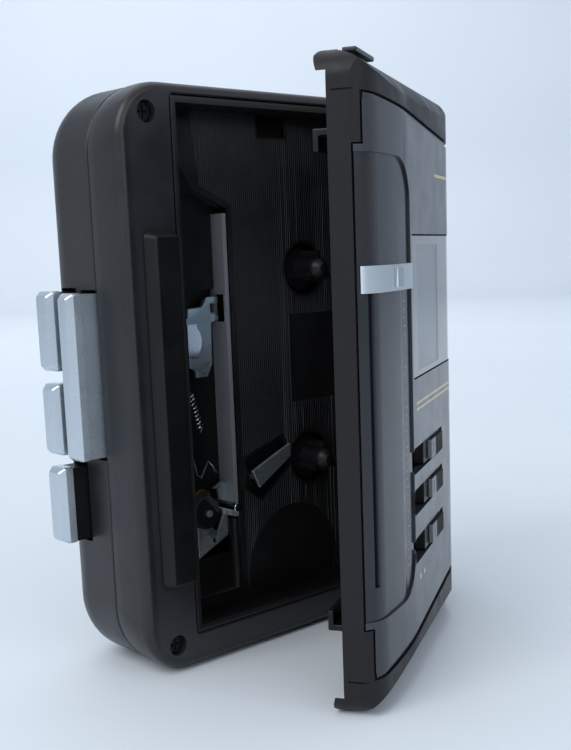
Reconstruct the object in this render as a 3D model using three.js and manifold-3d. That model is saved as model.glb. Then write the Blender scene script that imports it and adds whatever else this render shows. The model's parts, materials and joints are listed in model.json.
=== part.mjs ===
// Personal cassette player, standing on its short end with the lid held open.
// Units are millimetres, +Z up. Inside this file y = 0 is the rim where the lid meets the body:
// the body lies towards +Y and the closed lid towards -Y. The keys are on the -X side and the
// lid hinge is on the +X side. The finished group is moved so that the origin is the middle of
// the body's bottom end.
import * as THREE from 'three';
import { mergeVertices } from 'three/addons/utils/BufferGeometryUtils.js';
import Module from 'manifold-3d';

const wasm = await Module();
wasm.setup();

// ---------------------------------------------------------------- driving dimensions
// Body
const bodyWidth = 91;
const bodyHeight = 116;
const bodyDepth = 27;
const cornerRadius = 14;
const backEdgeRadius = 8;
const wall = 2;
const seamDepth = 9.5;
const rimInset = 1.3;
const rimPlate = 2;

// Lid, as it lies when closed
const lidWidth = 87.7;
const lidDepth = 9.4;
const lidCornerRadius = 5;
const lidSkirtDepth = 2;
const lidWall = 1.8;
const lidEndInset = 6.5;
const lidSlopeEnd = -21;
const lidSlopeStart = -38.5;
const lidSlopeStartDepth = 7.8;
const lidFallStart = 15;
const lidFallRadius = 22;
const lidFallAngle = 20;
const endCapRise = 7;
const endCapSlant = 6;
const sideBandDepth = 4.3;
const lidOpenAngle = 28.5;

// Hinge
const hingeX = 41;
const hingeDepth = 3;
const hingePinRadius = 1;
const knuckleRadius = 2.2;
const knuckleLength = 4;
const knuckleFromEnd = 8;
const hingeLedge = 2;

// Cassette: compact cassette, spine towards the hinge, head side towards the keys
const hubSpacing = 42.5;
const hubToSpine = 29.3;
const hubToHeadSide = 34.5;
const wellBottom = 7;
const wellTopBorder = 2.6;
const wellLeft = -32.5;
const wellWall = 1.2;
const deckDepth = 8.3;
const recessDepth = 11.2;
const deckThickness = 1.2;

// Spindles and drive
const spindleX = 9.3;
const spindleHoleRadius = 5.6;
const spindleHubRadius = 2.7;
const spindleFinReach = 3.9;
const spindleTipDepth = 1.5;
const capstanX = -19.5;
const capstanZ = 31;
const capstanRadius = 1;
const flywheelRadius = 13;
const flywheelDepth = 20;
const flywheelThickness = 3.2;
const motorX = 10;
const motorZ = 14;
const motorRadius = 9.8;
const pulleyRadius = 3;
const beltThickness = 1;
const gearModule = 0.5;
const gearDepth = 16;
const gearThickness = 2;
const capstanTeeth = 18;
const idlerTeeth = 34;
const spindleTeeth = 32;
const chassisDepth = 12.9;
const chassisThickness = 1.2;

// Keys on the left side
const keyReach = 6.3;
const playKeyDepth = 9.8;
const playKeyThickness = 4.4;
const smallKeyDepth = 16.6;
const smallKeyThickness = 5.2;
const keyBevel = 1.2;

// Front panel details
const windowWidth = 42;
const windowHeight = 27;
const windowZ = 72;
const troughRight = -22;
const troughFloor = 0.6;
const sliderNeckX = -41.2;
const sliderNeckWidth = 1;
const sliderHeight = 4.6;
const sliderZ = 78;
const sliderProud = 0.4;
const switchLength = 29;
const switchHeight = 5;
const switchLeft = -22;
const switchZs = [43, 35, 25.5];

// Batteries: two AA cells end to end along the hinge side
const cellLength = 50.5;
const cellDiameter = 14.5;
const bayLeft = 24.6;
const bayBottom = 5.2;
const bayWall = 1.2;

// Clearances
const gap = 0.3;
const runningGap = 0.4;
const capstanBoreGap = 0.1;

// ---------------------------------------------------------------- sizes that follow
const middleZ = bodyHeight / 2;
const wellTop = bodyHeight - wellTopBorder;
const halfWidth = bodyWidth / 2;
const lidHalf = lidWidth / 2;
const takeupZ = middleZ - hubSpacing / 2;
const supplyZ = middleZ + hubSpacing / 2;
const headSideX = spindleX - hubToHeadSide;
const wellRight = spindleX + hubToSpine;
const insideBack = bodyDepth - wall;
const flangeX = headSideX + 12.6;
const bayRight = bayLeft + cellDiameter + 0.5;
const bayTop = bayBottom + 2 * cellLength + 4.6;
const mechanismTop = supplyZ + 4.75;
const lidInside = -(lidDepth - lidWall);

// ---------------------------------------------------------------- geometry helpers
function toSolid(geometry) {
  const bare = geometry.index ? geometry.toNonIndexed() : geometry.clone();
  bare.deleteAttribute('normal');
  bare.deleteAttribute('uv');
  const merged = mergeVertices(bare, 1e-4);
  return new wasm.Manifold(new wasm.Mesh({
    numProp: 3,
    vertProperties: new Float32Array(merged.attributes.position.array),
    triVerts: new Uint32Array(merged.index.array),
  }));
}

function toGeometry(solid) {
  const mesh = solid.getMesh();
  const geometry = new THREE.BufferGeometry();
  geometry.setAttribute('position', new THREE.BufferAttribute(mesh.vertProperties, 3));
  geometry.setIndex(new THREE.BufferAttribute(mesh.triVerts, 1));
  return geometry;
}

function box(x0, x1, y0, y1, z0, z1) {
  const geometry = new THREE.BoxGeometry(x1 - x0, y1 - y0, z1 - z0);
  geometry.translate((x0 + x1) / 2, (y0 + y1) / 2, (z0 + z1) / 2);
  return toSolid(geometry);
}

// A round rod along one axis: 'x', 'y' or 'z', between two stations on that axis.
function rod(axis, a, b, from, to, radius, segments = 20, radiusTo = radius) {
  const geometry = new THREE.CylinderGeometry(radiusTo, radius, to - from, segments);
  const middle = (from + to) / 2;
  if (axis === 'x') {
    geometry.rotateZ(-Math.PI / 2);
    geometry.translate(middle, a, b);
  } else if (axis === 'y') {
    geometry.translate(a, middle, b);
  } else {
    geometry.rotateX(Math.PI / 2);
    geometry.translate(a, b, middle);
  }
  return toSolid(geometry);
}

function roundedOutline(width, height, radius, centreX = 0, centreZ = middleZ) {
  const x = width / 2;
  const z = height / 2;
  const r = Math.max(radius, 0.2);
  const shape = new THREE.Shape();
  shape.moveTo(centreX + x, centreZ - z + r);
  shape.lineTo(centreX + x, centreZ + z - r);
  shape.absarc(centreX + x - r, centreZ + z - r, r, 0, Math.PI / 2, false);
  shape.lineTo(centreX - x + r, centreZ + z);
  shape.absarc(centreX - x + r, centreZ + z - r, r, Math.PI / 2, Math.PI, false);
  shape.lineTo(centreX - x, centreZ - z + r);
  shape.absarc(centreX - x + r, centreZ - z + r, r, Math.PI, Math.PI * 1.5, false);
  shape.lineTo(centreX + x - r, centreZ - z);
  shape.absarc(centreX + x - r, centreZ - z + r, r, Math.PI * 1.5, Math.PI * 2, false);
  return shape;
}

function polygon(points) {
  const shape = new THREE.Shape();
  points.forEach(([x, z], i) => (i ? shape.lineTo(x, z) : shape.moveTo(x, z)));
  shape.closePath();
  return shape;
}

// An outline drawn in the XZ plane, given thickness from yFront to yBack.
function slab(shape, yFront, yBack, options = {}) {
  const geometry = new THREE.ExtrudeGeometry(shape, {
    depth: yBack - yFront,
    bevelEnabled: false,
    curveSegments: 6,
    ...options,
  });
  geometry.rotateX(Math.PI / 2);
  geometry.translate(0, yBack, 0);
  return toSolid(geometry);
}

// An outline whose front edge is rounded: it grows from faceShape at yFront to
// faceShape + grow at yFront + drop, and stays that size to yBack.
function roundedFront(faceShape, yFront, yBack, grow, drop, steps) {
  const both = slab(faceShape, yFront + drop, yBack, {
    bevelEnabled: true, bevelSize: grow, bevelThickness: drop, bevelSegments: steps, curveSegments: 5,
  });
  return both.subtract(box(-200, 200, yBack, yBack + 50, -200, 400));
}

// The same with the rounded edge at the back.
function roundedBack(faceShape, yFront, yBack, grow, drop, steps) {
  const both = slab(faceShape, yFront, yBack - drop, {
    bevelEnabled: true, bevelSize: grow, bevelThickness: drop, bevelSegments: steps, curveSegments: 5,
  });
  return both.subtract(box(-200, 200, yFront - 50, yFront, -200, 400));
}

function union(solids) {
  return solids.reduce((all, next) => all.add(next));
}

function mirrorInHeight(solid) {
  return solid.mirror([0, 0, 1]).translate([0, 0, bodyHeight]);
}

function wire(points, radius) {
  const path = new THREE.CatmullRomCurve3(points.map(([x, y, z]) => new THREE.Vector3(x, y, z)));
  const section = new THREE.Shape();
  section.absarc(0, 0, radius, 0, Math.PI * 2, false);
  return toSolid(new THREE.ExtrudeGeometry(section, {
    steps: 4 * (points.length - 1), curveSegments: 3, bevelEnabled: false, extrudePath: path,
  }));
}

// ---------------------------------------------------------------- finishes and assembly
const finishes = {
  shell: { color: 0x2b2e34, roughness: 0.42, metalness: 0 },
  panel: { color: 0x3c4450, roughness: 0.16, metalness: 0.1 },
  inner: { color: 0x17181b, roughness: 0.5, metalness: 0 },
  silver: { color: 0xb9c6d0, roughness: 0.32, metalness: 0.75 },
  steel: { color: 0x9fb0bb, roughness: 0.35, metalness: 0.9 },
  brass: { color: 0xb89a55, roughness: 0.35, metalness: 0.9 },
  rubber: { color: 0x1c1c1e, roughness: 0.8, metalness: 0 },
  nylon: { color: 0xd7d9d2, roughness: 0.5, metalness: 0 },
  board: { color: 0x2f6b3c, roughness: 0.55, metalness: 0 },
  clear: { color: 0x8fa3b5, roughness: 0.08, metalness: 0 },
};

const player = new THREE.Group();
const lid = new THREE.Group();

function addPiece(name, solid, finish, group = player) {
  const mesh = new THREE.Mesh(toGeometry(solid), new THREE.MeshStandardMaterial(finishes[finish]));
  mesh.name = name;
  group.add(mesh);
}

// ---------------------------------------------------------------- keys
const keys = [
  { name: 'play_key', z0: 44.3, z1: 76.9, depth: playKeyDepth, thickness: playKeyThickness },
  { name: 'rewind_key', z0: 61.7, z1: 77.3, depth: smallKeyDepth, thickness: smallKeyThickness },
  { name: 'forward_key', z0: 45, z1: 59.2, depth: smallKeyDepth, thickness: smallKeyThickness },
  { name: 'stop_key', z0: 27, z1: 42.5, depth: smallKeyDepth, thickness: smallKeyThickness },
];
const keyTravel = 3;
const keyStemEnd = -halfWidth + 5;
const keyFlangeX = -halfWidth + wall + 1;

// A key cap with bevelled outer ends on a plain stem, and a flange that stops it inside the wall.
function keySolid(key) {
  const outerX = -halfWidth - keyReach;
  const capBase = -halfWidth - keyReach + 3;
  const y0 = key.depth;
  const y1 = key.depth + key.thickness;
  const profile = polygon([
    [outerX, key.z0 + keyBevel],
    [outerX + keyBevel, key.z0],
    [capBase, key.z0],
    [capBase, key.z0 + gap],
    [keyStemEnd, key.z0 + gap],
    [keyStemEnd, key.z1 - gap],
    [capBase, key.z1 - gap],
    [capBase, key.z1],
    [outerX + keyBevel, key.z1],
    [outerX, key.z1 - keyBevel],
  ]);
  const stem = slab(profile, y0, y1);
  const flange = box(keyFlangeX, keyFlangeX + 1.2, y0, y1, key.z0 - 0.8, key.z1 + 0.8);
  return stem.add(flange);
}

function keySlot(key) {
  return box(
    -halfWidth - 5, keyStemEnd + 5,
    key.depth - runningGap, key.depth + key.thickness + runningGap,
    key.z0 - runningGap, key.z1 + runningGap,
  );
}

keys.forEach((key) => addPiece(key.name, keySolid(key), 'silver'));

// Leaf springs that push the keys out: one comb of steel with a finger for each key.
const combX = keyStemEnd + keyTravel + 3.6;
const springComb = union([
  box(combX, combX + 0.8, playKeyDepth + 1, flywheelDepth - 0.8, 28, 76),
  ...keys.map((key) => {
    const z = (key.z0 + key.z1) / 2;
    const y = key.depth + key.thickness / 2;
    return box(keyStemEnd + keyTravel + gap, combX + 0.4, y - 0.6, y + 0.6, z - 1.5, z + 1.5);
  }),
]);
addPiece('key_spring_comb', springComb, 'steel');

// ---------------------------------------------------------------- rear cover
const backFace = roundedOutline(
  bodyWidth - 2 * backEdgeRadius, bodyHeight - 2 * backEdgeRadius, cornerRadius - backEdgeRadius,
);
const coverOuter = roundedBack(backFace, seamDepth + gap / 2, bodyDepth, backEdgeRadius, backEdgeRadius, 5);
const insideRadius = backEdgeRadius - wall;
const coverInside = roundedBack(backFace, seamDepth - 1, insideBack, insideRadius, insideRadius, 3);

const volumeWheelRadius = 8;
const volumeWheelX = 12;
const volumeWheelZ = bodyHeight + 0.9 - volumeWheelRadius;
const volumeWheelDepth = 17;
const volumeWheelThickness = 3;
const jackX = -12;
const jackDepth = 18.2;
const jackBoreRadius = 1.8;
const doorInset = 0.8;
const doorThickness = 1.7;
const doorHingeX = bayLeft + 0.4;
const doorBottom = bayBottom - 0.4;
const doorTop = bayTop + 0.4;

// The battery bay: a long rib beside the cells and a short one at each end, open to the
// front onto the deck.
const ribFront = deckDepth + deckThickness + 0.5;
const bayRibs = union([
  box(bayLeft - bayWall, bayLeft, ribFront, insideBack + 0.1, bayBottom - bayWall, bayTop + bayWall),
  box(bayLeft - bayWall, bayRight + bayWall, ribFront, insideBack + 0.1, bayBottom - bayWall, bayBottom),
  box(bayLeft - bayWall, bayRight + bayWall, ribFront, insideBack + 0.1, bayTop, bayTop + bayWall),
]).intersect(roundedBack(backFace, 0, bodyDepth - 1, backEdgeRadius - 1, backEdgeRadius - 1, 3));
const doorOpening = box(doorHingeX - 1.5, bayRight + doorInset, insideBack - 3, bodyDepth + 1,
  doorBottom - gap, doorTop + gap);
const pegDepth = bodyDepth - 0.9;
const doorPegHoles = rod('z', doorHingeX, pegDepth, doorBottom - 1.8, doorTop + 1.8, 0.9, 12);

const caseScrews = [
  [-38.2, 109.8],
  [-37.6, 6],
];
const screwBossRadius = 2.8;
const screwHeadRadius = 1.8;
const screwRadius = 0.9;
const screwHeadDepth = 1.2;
const counterboreDepth = 2.6;
const screwLength = 13;
const coverFront = seamDepth + gap / 2;
const screwBosses = union(caseScrews.map(([x, z]) => rod('y', x, z, coverFront, insideBack + 0.5,
  screwBossRadius, 14)));
const screwBores = union(caseScrews.map(([x, z]) => (
  rod('y', x, z, 0, insideBack - 3, screwRadius + gap, 12))));

const rearCover = coverOuter
  .subtract(coverInside)
  .add(bayRibs)
  .add(screwBosses.intersect(coverOuter))
  .subtract(doorOpening)
  .subtract(doorPegHoles)
  .subtract(union(keys.map(keySlot)))
  .subtract(screwBores)
  .subtract(rod('y', volumeWheelX, volumeWheelZ, volumeWheelDepth - 0.8,
    volumeWheelDepth + volumeWheelThickness + 0.8, volumeWheelRadius + 0.8, 24))
  .subtract(rod('z', jackX, jackDepth, bodyHeight - 6, bodyHeight + 2, 3.4, 20));
addPiece('rear_cover', rearCover, 'shell');

// ---------------------------------------------------------------- front frame
const rimOutline = roundedOutline(
  bodyWidth - 2 * rimInset, bodyHeight - 2 * rimInset, cornerRadius - rimInset,
);
const frameOuter = roundedFront(rimOutline, 0, seamDepth - gap / 2, rimInset, seamDepth - gap, 4);
const frameInside = slab(
  roundedOutline(bodyWidth - 2 * rimInset - 2 * wall, bodyHeight - 2 * rimInset - 2 * wall,
    cornerRadius - rimInset - wall), rimPlate, seamDepth + 1);
const hingeBlockWidth = 5;
const hingeBlockLength = knuckleLength + 6;

// Solid blocks at both ends of the hinge side carry the pins.
const hingeBlock = box(
  hingeX - hingeBlockWidth / 2 - 0.1, halfWidth, hingeLedge, hingeDepth + 3.6,
  knuckleFromEnd - 3, knuckleFromEnd - 3 + hingeBlockLength,
);
const ledge = box(wellRight + 0.6, halfWidth, hingeLedge, hingeLedge + 1.6, 4, bodyHeight - 4);
const ledgeCut = box(hingeX - 2.4, halfWidth + 5, -1, hingeLedge, 3, bodyHeight - 3);
const knuckleNotch = box(
  hingeX - knuckleRadius - 0.5, hingeX + knuckleRadius + 1.2, -1, hingeDepth + knuckleRadius + 0.5,
  knuckleFromEnd - gap, knuckleFromEnd + knuckleLength + gap,
);
const pinBore = rod('z', hingeX, hingeDepth, knuckleFromEnd - 2.4, knuckleFromEnd + knuckleLength + 2.4,
  hingePinRadius + 0.05, 20);
const frameScrewHoles = union(caseScrews.map(([x, z]) => union([
  rod('y', x, z, -1, counterboreDepth, screwHeadRadius + gap, 16),
  rod('y', x, z, -1, seamDepth + 1, screwRadius + gap, 12),
])));
const frameBosses = union(caseScrews.map(([x, z]) => rod('y', x, z, 0.6, seamDepth - gap / 2,
  screwBossRadius, 14)));

const frontFrame = frameOuter
  .subtract(frameInside)
  .add(frameBosses.intersect(frameOuter))
  .add(ledge.intersect(frameOuter))
  .add(hingeBlock.intersect(frameOuter))
  .add(mirrorInHeight(hingeBlock).intersect(frameOuter))
  .subtract(box(wellLeft, wellRight, -1, seamDepth + 1, wellBottom, wellTop))
  .subtract(ledgeCut)
  .subtract(knuckleNotch)
  .subtract(mirrorInHeight(knuckleNotch))
  .subtract(pinBore)
  .subtract(mirrorInHeight(pinBore))
  .subtract(frameScrewHoles)
  .subtract(union(keys.map(keySlot)));
addPiece('front_frame', frontFrame, 'shell');

// Case screws, sunk in the flat border.
caseScrews.forEach(([x, z], i) => {
  const screw = rod('y', x, z, screwHeadDepth, counterboreDepth - gap, screwHeadRadius, 16)
    .add(rod('y', x, z, counterboreDepth - gap - 0.1, screwLength, screwRadius, 12))
    .subtract(box(x - 1.1, x + 1.1, 0, screwHeadDepth + 0.5, z - 0.2, z + 0.2))
    .subtract(box(x - 0.2, x + 0.2, 0, screwHeadDepth + 0.5, z - 1.1, z + 1.1));
  addPiece(`case_screw_${i + 1}`, screw, 'steel');
});

// Raised bar on the border that covers the key mechanism.
const keyBar = roundedFront(roundedOutline(5.2, 67.6, 0.8, -36.9, 53), -2.8, -gap, 1.2, 1.2, 3);
addPiece('key_mechanism_cover', keyBar, 'inner');

// Hinge pins.
const pinSolid = rod('z', hingeX, hingeDepth, knuckleFromEnd - 2.2, knuckleFromEnd + knuckleLength + 2.2,
  hingePinRadius, 20);
addPiece('hinge_pin_lower', pinSolid, 'steel');
addPiece('hinge_pin_upper', mirrorInHeight(pinSolid), 'steel');

// ---------------------------------------------------------------- deck plate
const tubLeft = wellLeft + gap;
const tubRight = wellRight - gap;
const tubBottom = wellBottom + gap;
const tubTop = wellTop - gap;
const recessBottom = 10.5;
const recessTop = 92.5;
const openingTop = 76;
const openingBottom = 18.5;
const openingLeft = tubLeft + wellWall;
const armSwingClear = 0.15;
const flangeThickness = 1;

// The deck's head side is sunk for the thick part of the cassette, with a slanted upper end.
const recessOutline = polygon([
  [tubLeft + wellWall, recessBottom],
  [flangeX, recessBottom],
  [flangeX, recessTop],
  [-21.5, recessTop + 4],
  [tubLeft + wellWall, recessTop + 18],
]);
const pocket = box(-3, 4.8, deckDepth - 1, deckDepth + 0.9, 107.3, tubTop - wellWall);
// The head bracket's two arms pass through notches in the step when the head comes forward.
const armNotchBottom = 69;
const armNotchTop = 74.8;
const leverPivotX = -7.6;
const leverPivotZ = 34.9;
const leverSlot = polygon([[-10.5, 33], [-6, 29.5], [3.2, 36.5], [1, 42.8], [-10, 39]]);

function spindleHole(z) {
  return rod('y', spindleX, z, deckDepth - 1, deckDepth + 6, spindleHoleRadius, 28);
}

// Behind the seam the plate's corners stay inside the rear cover's round ones.
const coverInner = roundedOutline(bodyWidth - 2 * wall - 2 * gap, bodyHeight - 2 * wall - 2 * gap,
  cornerRadius - wall - gap);
const coverCorners = box(-bodyWidth, bodyWidth, seamDepth, bodyDepth, -bodyHeight, 2 * bodyHeight)
  .subtract(slab(coverInner, seamDepth - 1, bodyDepth + 1));

const deckPlate = box(tubLeft, tubRight, gap, recessDepth + deckThickness, tubBottom, tubTop)
  .subtract(box(tubLeft + wellWall, tubRight - wellWall, -1, deckDepth, tubBottom + wellWall,
    tubTop - wellWall))
  .subtract(slab(recessOutline, deckDepth - 1, recessDepth))
  .subtract(box(flangeX + deckThickness, tubRight + 1, deckDepth + deckThickness, recessDepth + 5,
    tubBottom - 1, tubTop + 1))
  .subtract(box(tubLeft - 1, flangeX + deckThickness + 0.1, deckDepth + deckThickness,
    recessDepth + 5, recessTop + 20, tubTop + 1))
  .subtract(box(openingLeft - armSwingClear, flangeX - 0.4, deckDepth, recessDepth + 5,
    openingBottom, openingTop))
  .subtract(box(flangeX - flangeThickness - 0.9, flangeX + 0.1, deckDepth, recessDepth + 5,
    26, recessTop + 0.1))
  .subtract(pocket)
  .subtract(coverCorners)
  .subtract(box(flangeX - 0.1, flangeX + 3, deckDepth + deckThickness + 0.1, recessDepth + 5,
    armNotchBottom, armNotchTop))
  .subtract(spindleHole(takeupZ))
  .subtract(spindleHole(supplyZ))
  .subtract(slab(leverSlot, deckDepth - 1, deckDepth + 0.7))
  .subtract(rod('y', leverPivotX, leverPivotZ, deckDepth - 1, deckDepth + 6, 1.1, 14));
addPiece('deck_plate', deckPlate, 'inner');

// ---------------------------------------------------------------- mechanism chassis
const idlerRadius = (gearModule * idlerTeeth) / 2;
const capstanGearRadius = (gearModule * capstanTeeth) / 2;
const spindleGearRadius = (gearModule * spindleTeeth) / 2;

// The idler sits where its pitch circle touches both neighbours.
function idlerCentre() {
  const dx = spindleX - capstanX;
  const dz = takeupZ - capstanZ;
  const span = Math.hypot(dx, dz);
  const a = capstanGearRadius + idlerRadius;
  const b = spindleGearRadius + idlerRadius;
  const along = (a * a - b * b + span * span) / (2 * span);
  const aside = Math.sqrt(Math.max(a * a - along * along, 0));
  return [
    capstanX + (dx * along - dz * aside) / span,
    capstanZ + (dz * along + dx * aside) / span,
  ];
}
const [idlerX, idlerZ] = idlerCentre();

const bushRadius = 2.4;
const chassisBack = chassisDepth + chassisThickness;
const flangeTop = 82;
const stripTop = recessTop - 1;
const pivotX = -29.2;
const pivotZ = 47;
const chassis = union([
  box(-31.8, bayLeft - bayWall - 1, chassisDepth, chassisBack, 26, mechanismTop),
  box(flangeX - flangeThickness - gap, flangeX - gap, deckDepth - 0.1, chassisBack, 27, flangeTop),
  box(flangeX - flangeThickness - gap, flangeX - gap, deckDepth - 0.1, chassisBack - gap - 0.2,
    flangeTop - 1, stripTop),
])
  .subtract(rod('y', capstanX, capstanZ, 10, 20, bushRadius + 0.05, 20))
  .subtract(rod('y', spindleX, takeupZ, 10, 20, 2.2, 20))
  .subtract(rod('y', spindleX, supplyZ, 10, 20, 2.2, 20))
  .subtract(box(flangeX - 2, flangeX, deckDepth + 0.6, recessDepth + 1, armNotchBottom, armNotchTop))
  .add(rod('y', idlerX, idlerZ, chassisBack - 0.1, gearDepth + gearThickness + 1.2, 1.2, 16))
  .add(rod('y', pivotX, pivotZ, 8.2, chassisDepth + 0.1, 1.1, 16))
  .add(rod('y', -21.7, 53.4, 9, chassisDepth + 0.1, 1.2, 12));
addPiece('mechanism_chassis', chassis, 'steel');

addPiece('capstan_bearing',
  rod('y', capstanX, capstanZ, recessDepth + 1, 15.4, bushRadius, 20)
    .subtract(rod('y', capstanX, capstanZ, 5, 20, capstanRadius + capstanBoreGap, 20)), 'brass');

// Pale stamped plate around the capstan, with a diamond window.
const capstanPlate = slab(polygon([[-22.4, 18.8], [-13.9, 22.6], [-13.9, 34], [-15, 34.6], [-22.4, 31.4]]),
  recessDepth - 0.4, recessDepth + 0.4)
  .subtract(slab(polygon([[capstanX - 2, 27.4], [capstanX + 2.6, 23.8], [capstanX + 4.4, 27.2],
    [capstanX + 3, 33.6], [capstanX - 2, 33]]), recessDepth - 2, recessDepth + 2))
  .subtract(rod('y', -17.7, 22, recessDepth - 2, recessDepth + 2, 0.6, 12))
  .add(box(-22.4, -20.6, recessDepth - 0.4, chassisDepth - gap, 20.6, 24));
addPiece('capstan_plate', capstanPlate, 'steel');

// ---------------------------------------------------------------- rotating drive
const capstanEnd = flywheelDepth + flywheelThickness + 0.4;
addPiece('capstan_shaft', rod('y', capstanX, capstanZ, 0.6, capstanEnd, capstanRadius, 20), 'steel');

const wheelBoreRadius = capstanRadius + 0.02;
const flywheel = rod('y', capstanX, capstanZ, flywheelDepth, flywheelDepth + flywheelThickness,
  flywheelRadius, 40)
  .subtract(rod('y', capstanX, capstanZ, flywheelDepth - 1, flywheelDepth + 1.2, flywheelRadius - 3, 32))
  .add(rod('y', capstanX, capstanZ, flywheelDepth - 1, flywheelDepth + flywheelThickness, 3.4, 20))
  .subtract(rod('y', capstanX, capstanZ, flywheelDepth - 3, capstanEnd + 1, wheelBoreRadius, 20));
addPiece('flywheel', flywheel, 'brass');

// A spur gear with plain tapered teeth; phase turns it by a share of one tooth.
function gear(x, z, teeth, phase, boreRadius) {
  const pitch = (gearModule * teeth) / 2;
  const root = pitch - 0.5;
  const tip = pitch + 0.32;
  const step = (2 * Math.PI) / teeth;
  const points = [];
  for (let i = 0; i < teeth; i += 1) {
    const centre = (i + phase) * step;
    [[root, -0.3], [tip, -0.13], [tip, 0.13], [root, 0.3]].forEach(([radius, share]) => {
      const angle = centre + share * step;
      points.push([x + radius * Math.cos(angle), z + radius * Math.sin(angle)]);
    });
  }
  return slab(polygon(points), gearDepth, gearDepth + gearThickness)
    .subtract(rod('y', x, z, gearDepth - 1, gearDepth + gearThickness + 1, boreRadius, 20));
}

// Phases put a tooth of one gear opposite a gap of the next along their line of centres.
const toCapstan = Math.atan2(capstanZ - idlerZ, capstanX - idlerX);
const toSpindle = Math.atan2(takeupZ - idlerZ, spindleX - idlerX);
const turn = 2 * Math.PI;
const idlerPhase = (toCapstan / turn) * idlerTeeth;
const capstanPhase = ((toCapstan + Math.PI) / turn) * capstanTeeth + 0.5;
const spindleShare = (toSpindle / turn) * idlerTeeth - idlerPhase;
const spindlePhase = ((toSpindle + Math.PI) / turn) * spindleTeeth + 0.5 - spindleShare;

addPiece('capstan_gear', gear(capstanX, capstanZ, capstanTeeth, capstanPhase, wheelBoreRadius), 'nylon');
addPiece('idler_gear', gear(idlerX, idlerZ, idlerTeeth, idlerPhase, 1.25), 'nylon');
addPiece('takeup_gear', gear(spindleX, takeupZ, spindleTeeth, spindlePhase, 2.02), 'nylon');

// A reel spindle: hub with fins and a domed tip, a flange just under the deck, and a shaft.
function spindle(z) {
  const profile = [
    [0, spindleTipDepth], [1.2, spindleTipDepth + 0.2], [spindleHubRadius - 0.6, spindleTipDepth + 1.2],
    [spindleHubRadius, spindleTipDepth + 2.4], [spindleHubRadius, deckDepth + 0.4],
    [spindleHoleRadius - 0.7, deckDepth + 0.5], [spindleHoleRadius - 0.7, deckDepth + 1.8],
    [2, deckDepth + 1.9], [2, gearDepth + gearThickness + 1], [0, gearDepth + gearThickness + 1],
  ].map(([r, y]) => new THREE.Vector2(r, y));
  const lathe = new THREE.LatheGeometry(profile, 20);
  lathe.translate(spindleX, 0, z);
  let body = toSolid(lathe);
  for (let i = 0; i < 3; i += 1) {
    const fin = box(0.5, spindleFinReach, spindleTipDepth + 1.8, deckDepth + 0.6, -0.5, 0.5)
      .rotate([0, 120 * i + 30, 0]).translate([spindleX, 0, z]);
    body = body.add(fin);
  }
  return body;
}
addPiece('takeup_spindle', spindle(takeupZ), 'inner');
addPiece('supply_spindle', spindle(supplyZ), 'inner');

// Motor, its pulley and the flat belt to the flywheel.
const motorFront = deckDepth + deckThickness + gap;
const motorBack = 19.4;
addPiece('motor', union([
  rod('y', motorX, motorZ, motorFront, motorBack, motorRadius, 32),
  rod('y', motorX, motorZ, motorBack - 0.1, motorBack + 1, 3, 20),
  rod('y', motorX, motorZ, motorBack, flywheelDepth + 4, 0.8, 16),
]), 'steel');
const pulleyFront = motorBack + 1 + gap;
addPiece('motor_pulley', rod('y', motorX, motorZ, pulleyFront, flywheelDepth + 3.6, pulleyRadius, 24)
  .subtract(rod('y', motorX, motorZ, 15, 30, 0.84, 16)), 'brass');

// The belt's outline is two circles and their outer tangents.
function beltOutline(extra) {
  const dx = motorX - capstanX;
  const dz = motorZ - capstanZ;
  const span = Math.hypot(dx, dz);
  const bigRadius = flywheelRadius + extra;
  const smallRadius = pulleyRadius + extra;
  const heading = Math.atan2(dz, dx);
  const lean = Math.acos((bigRadius - smallRadius) / span);
  const shape = new THREE.Shape();
  shape.absarc(capstanX, capstanZ, bigRadius, heading + lean, heading - lean, false);
  shape.absarc(motorX, motorZ, smallRadius, heading - lean, heading + lean, false);
  shape.closePath();
  return shape;
}
const beltFront = flywheelDepth + 1;
const beltWidth = 1.4;
const beltSteps = { curveSegments: 14 };
addPiece('drive_belt',
  slab(beltOutline(gap + beltThickness), beltFront, beltFront + beltWidth, beltSteps)
    .subtract(slab(beltOutline(gap), beltFront - 1, beltFront + 3, beltSteps)), 'rubber');

// ---------------------------------------------------------------- head and pinch roller
const headTravelArms = flangeX - flangeThickness - gap - 0.4;
const bracketY = recessDepth - 0.9;
const headZ = 66.2;
const bracketOutline = polygon([
  [-28.2, 65.6], [-26.2, 65.6], [-25.4, 63.6], [-22.8, 63], [-22.6, 60], [-21, 59.2], [-20.9, 57.8],
  [-18, 57.8], [-16.6, 60.4], [-16.4, 69], [headTravelArms, 69.6], [headTravelArms, 71],
  [-16.4, 71], [-16.4, 73], [headTravelArms, 73], [headTravelArms, 74.4], [-17.2, 74.4],
  [-18.6, 72.4], [-22.4, 72.2], [-22.6, 70.2], [-25.2, 69.8], [-25.6, 68.4], [-28.2, 67.8],
]);
addPiece('head_bracket', slab(bracketOutline, bracketY, bracketY + 0.9)
  .add(box(-30.8, -29.6, 7.4, bracketY + 0.9, 63.8, 67.6))
  .add(box(-30.8, -25, bracketY, bracketY + 0.9, 65, 67.4)), 'steel');

const headFront = headSideX - gap;
addPiece('tape_head', union([
  box(headFront - 3.8, headFront - 1.2, 2.2, bracketY - gap, headZ - 3.4, headZ + 3.4),
  rod('y', headFront - 4.2, headZ, 2.2, bracketY - gap, 4.2, 28)
    .intersect(box(headFront - 3.8, headFront + 1, 0, 20, headZ - 2.7, headZ + 2.7)),
]), 'steel');

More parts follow.
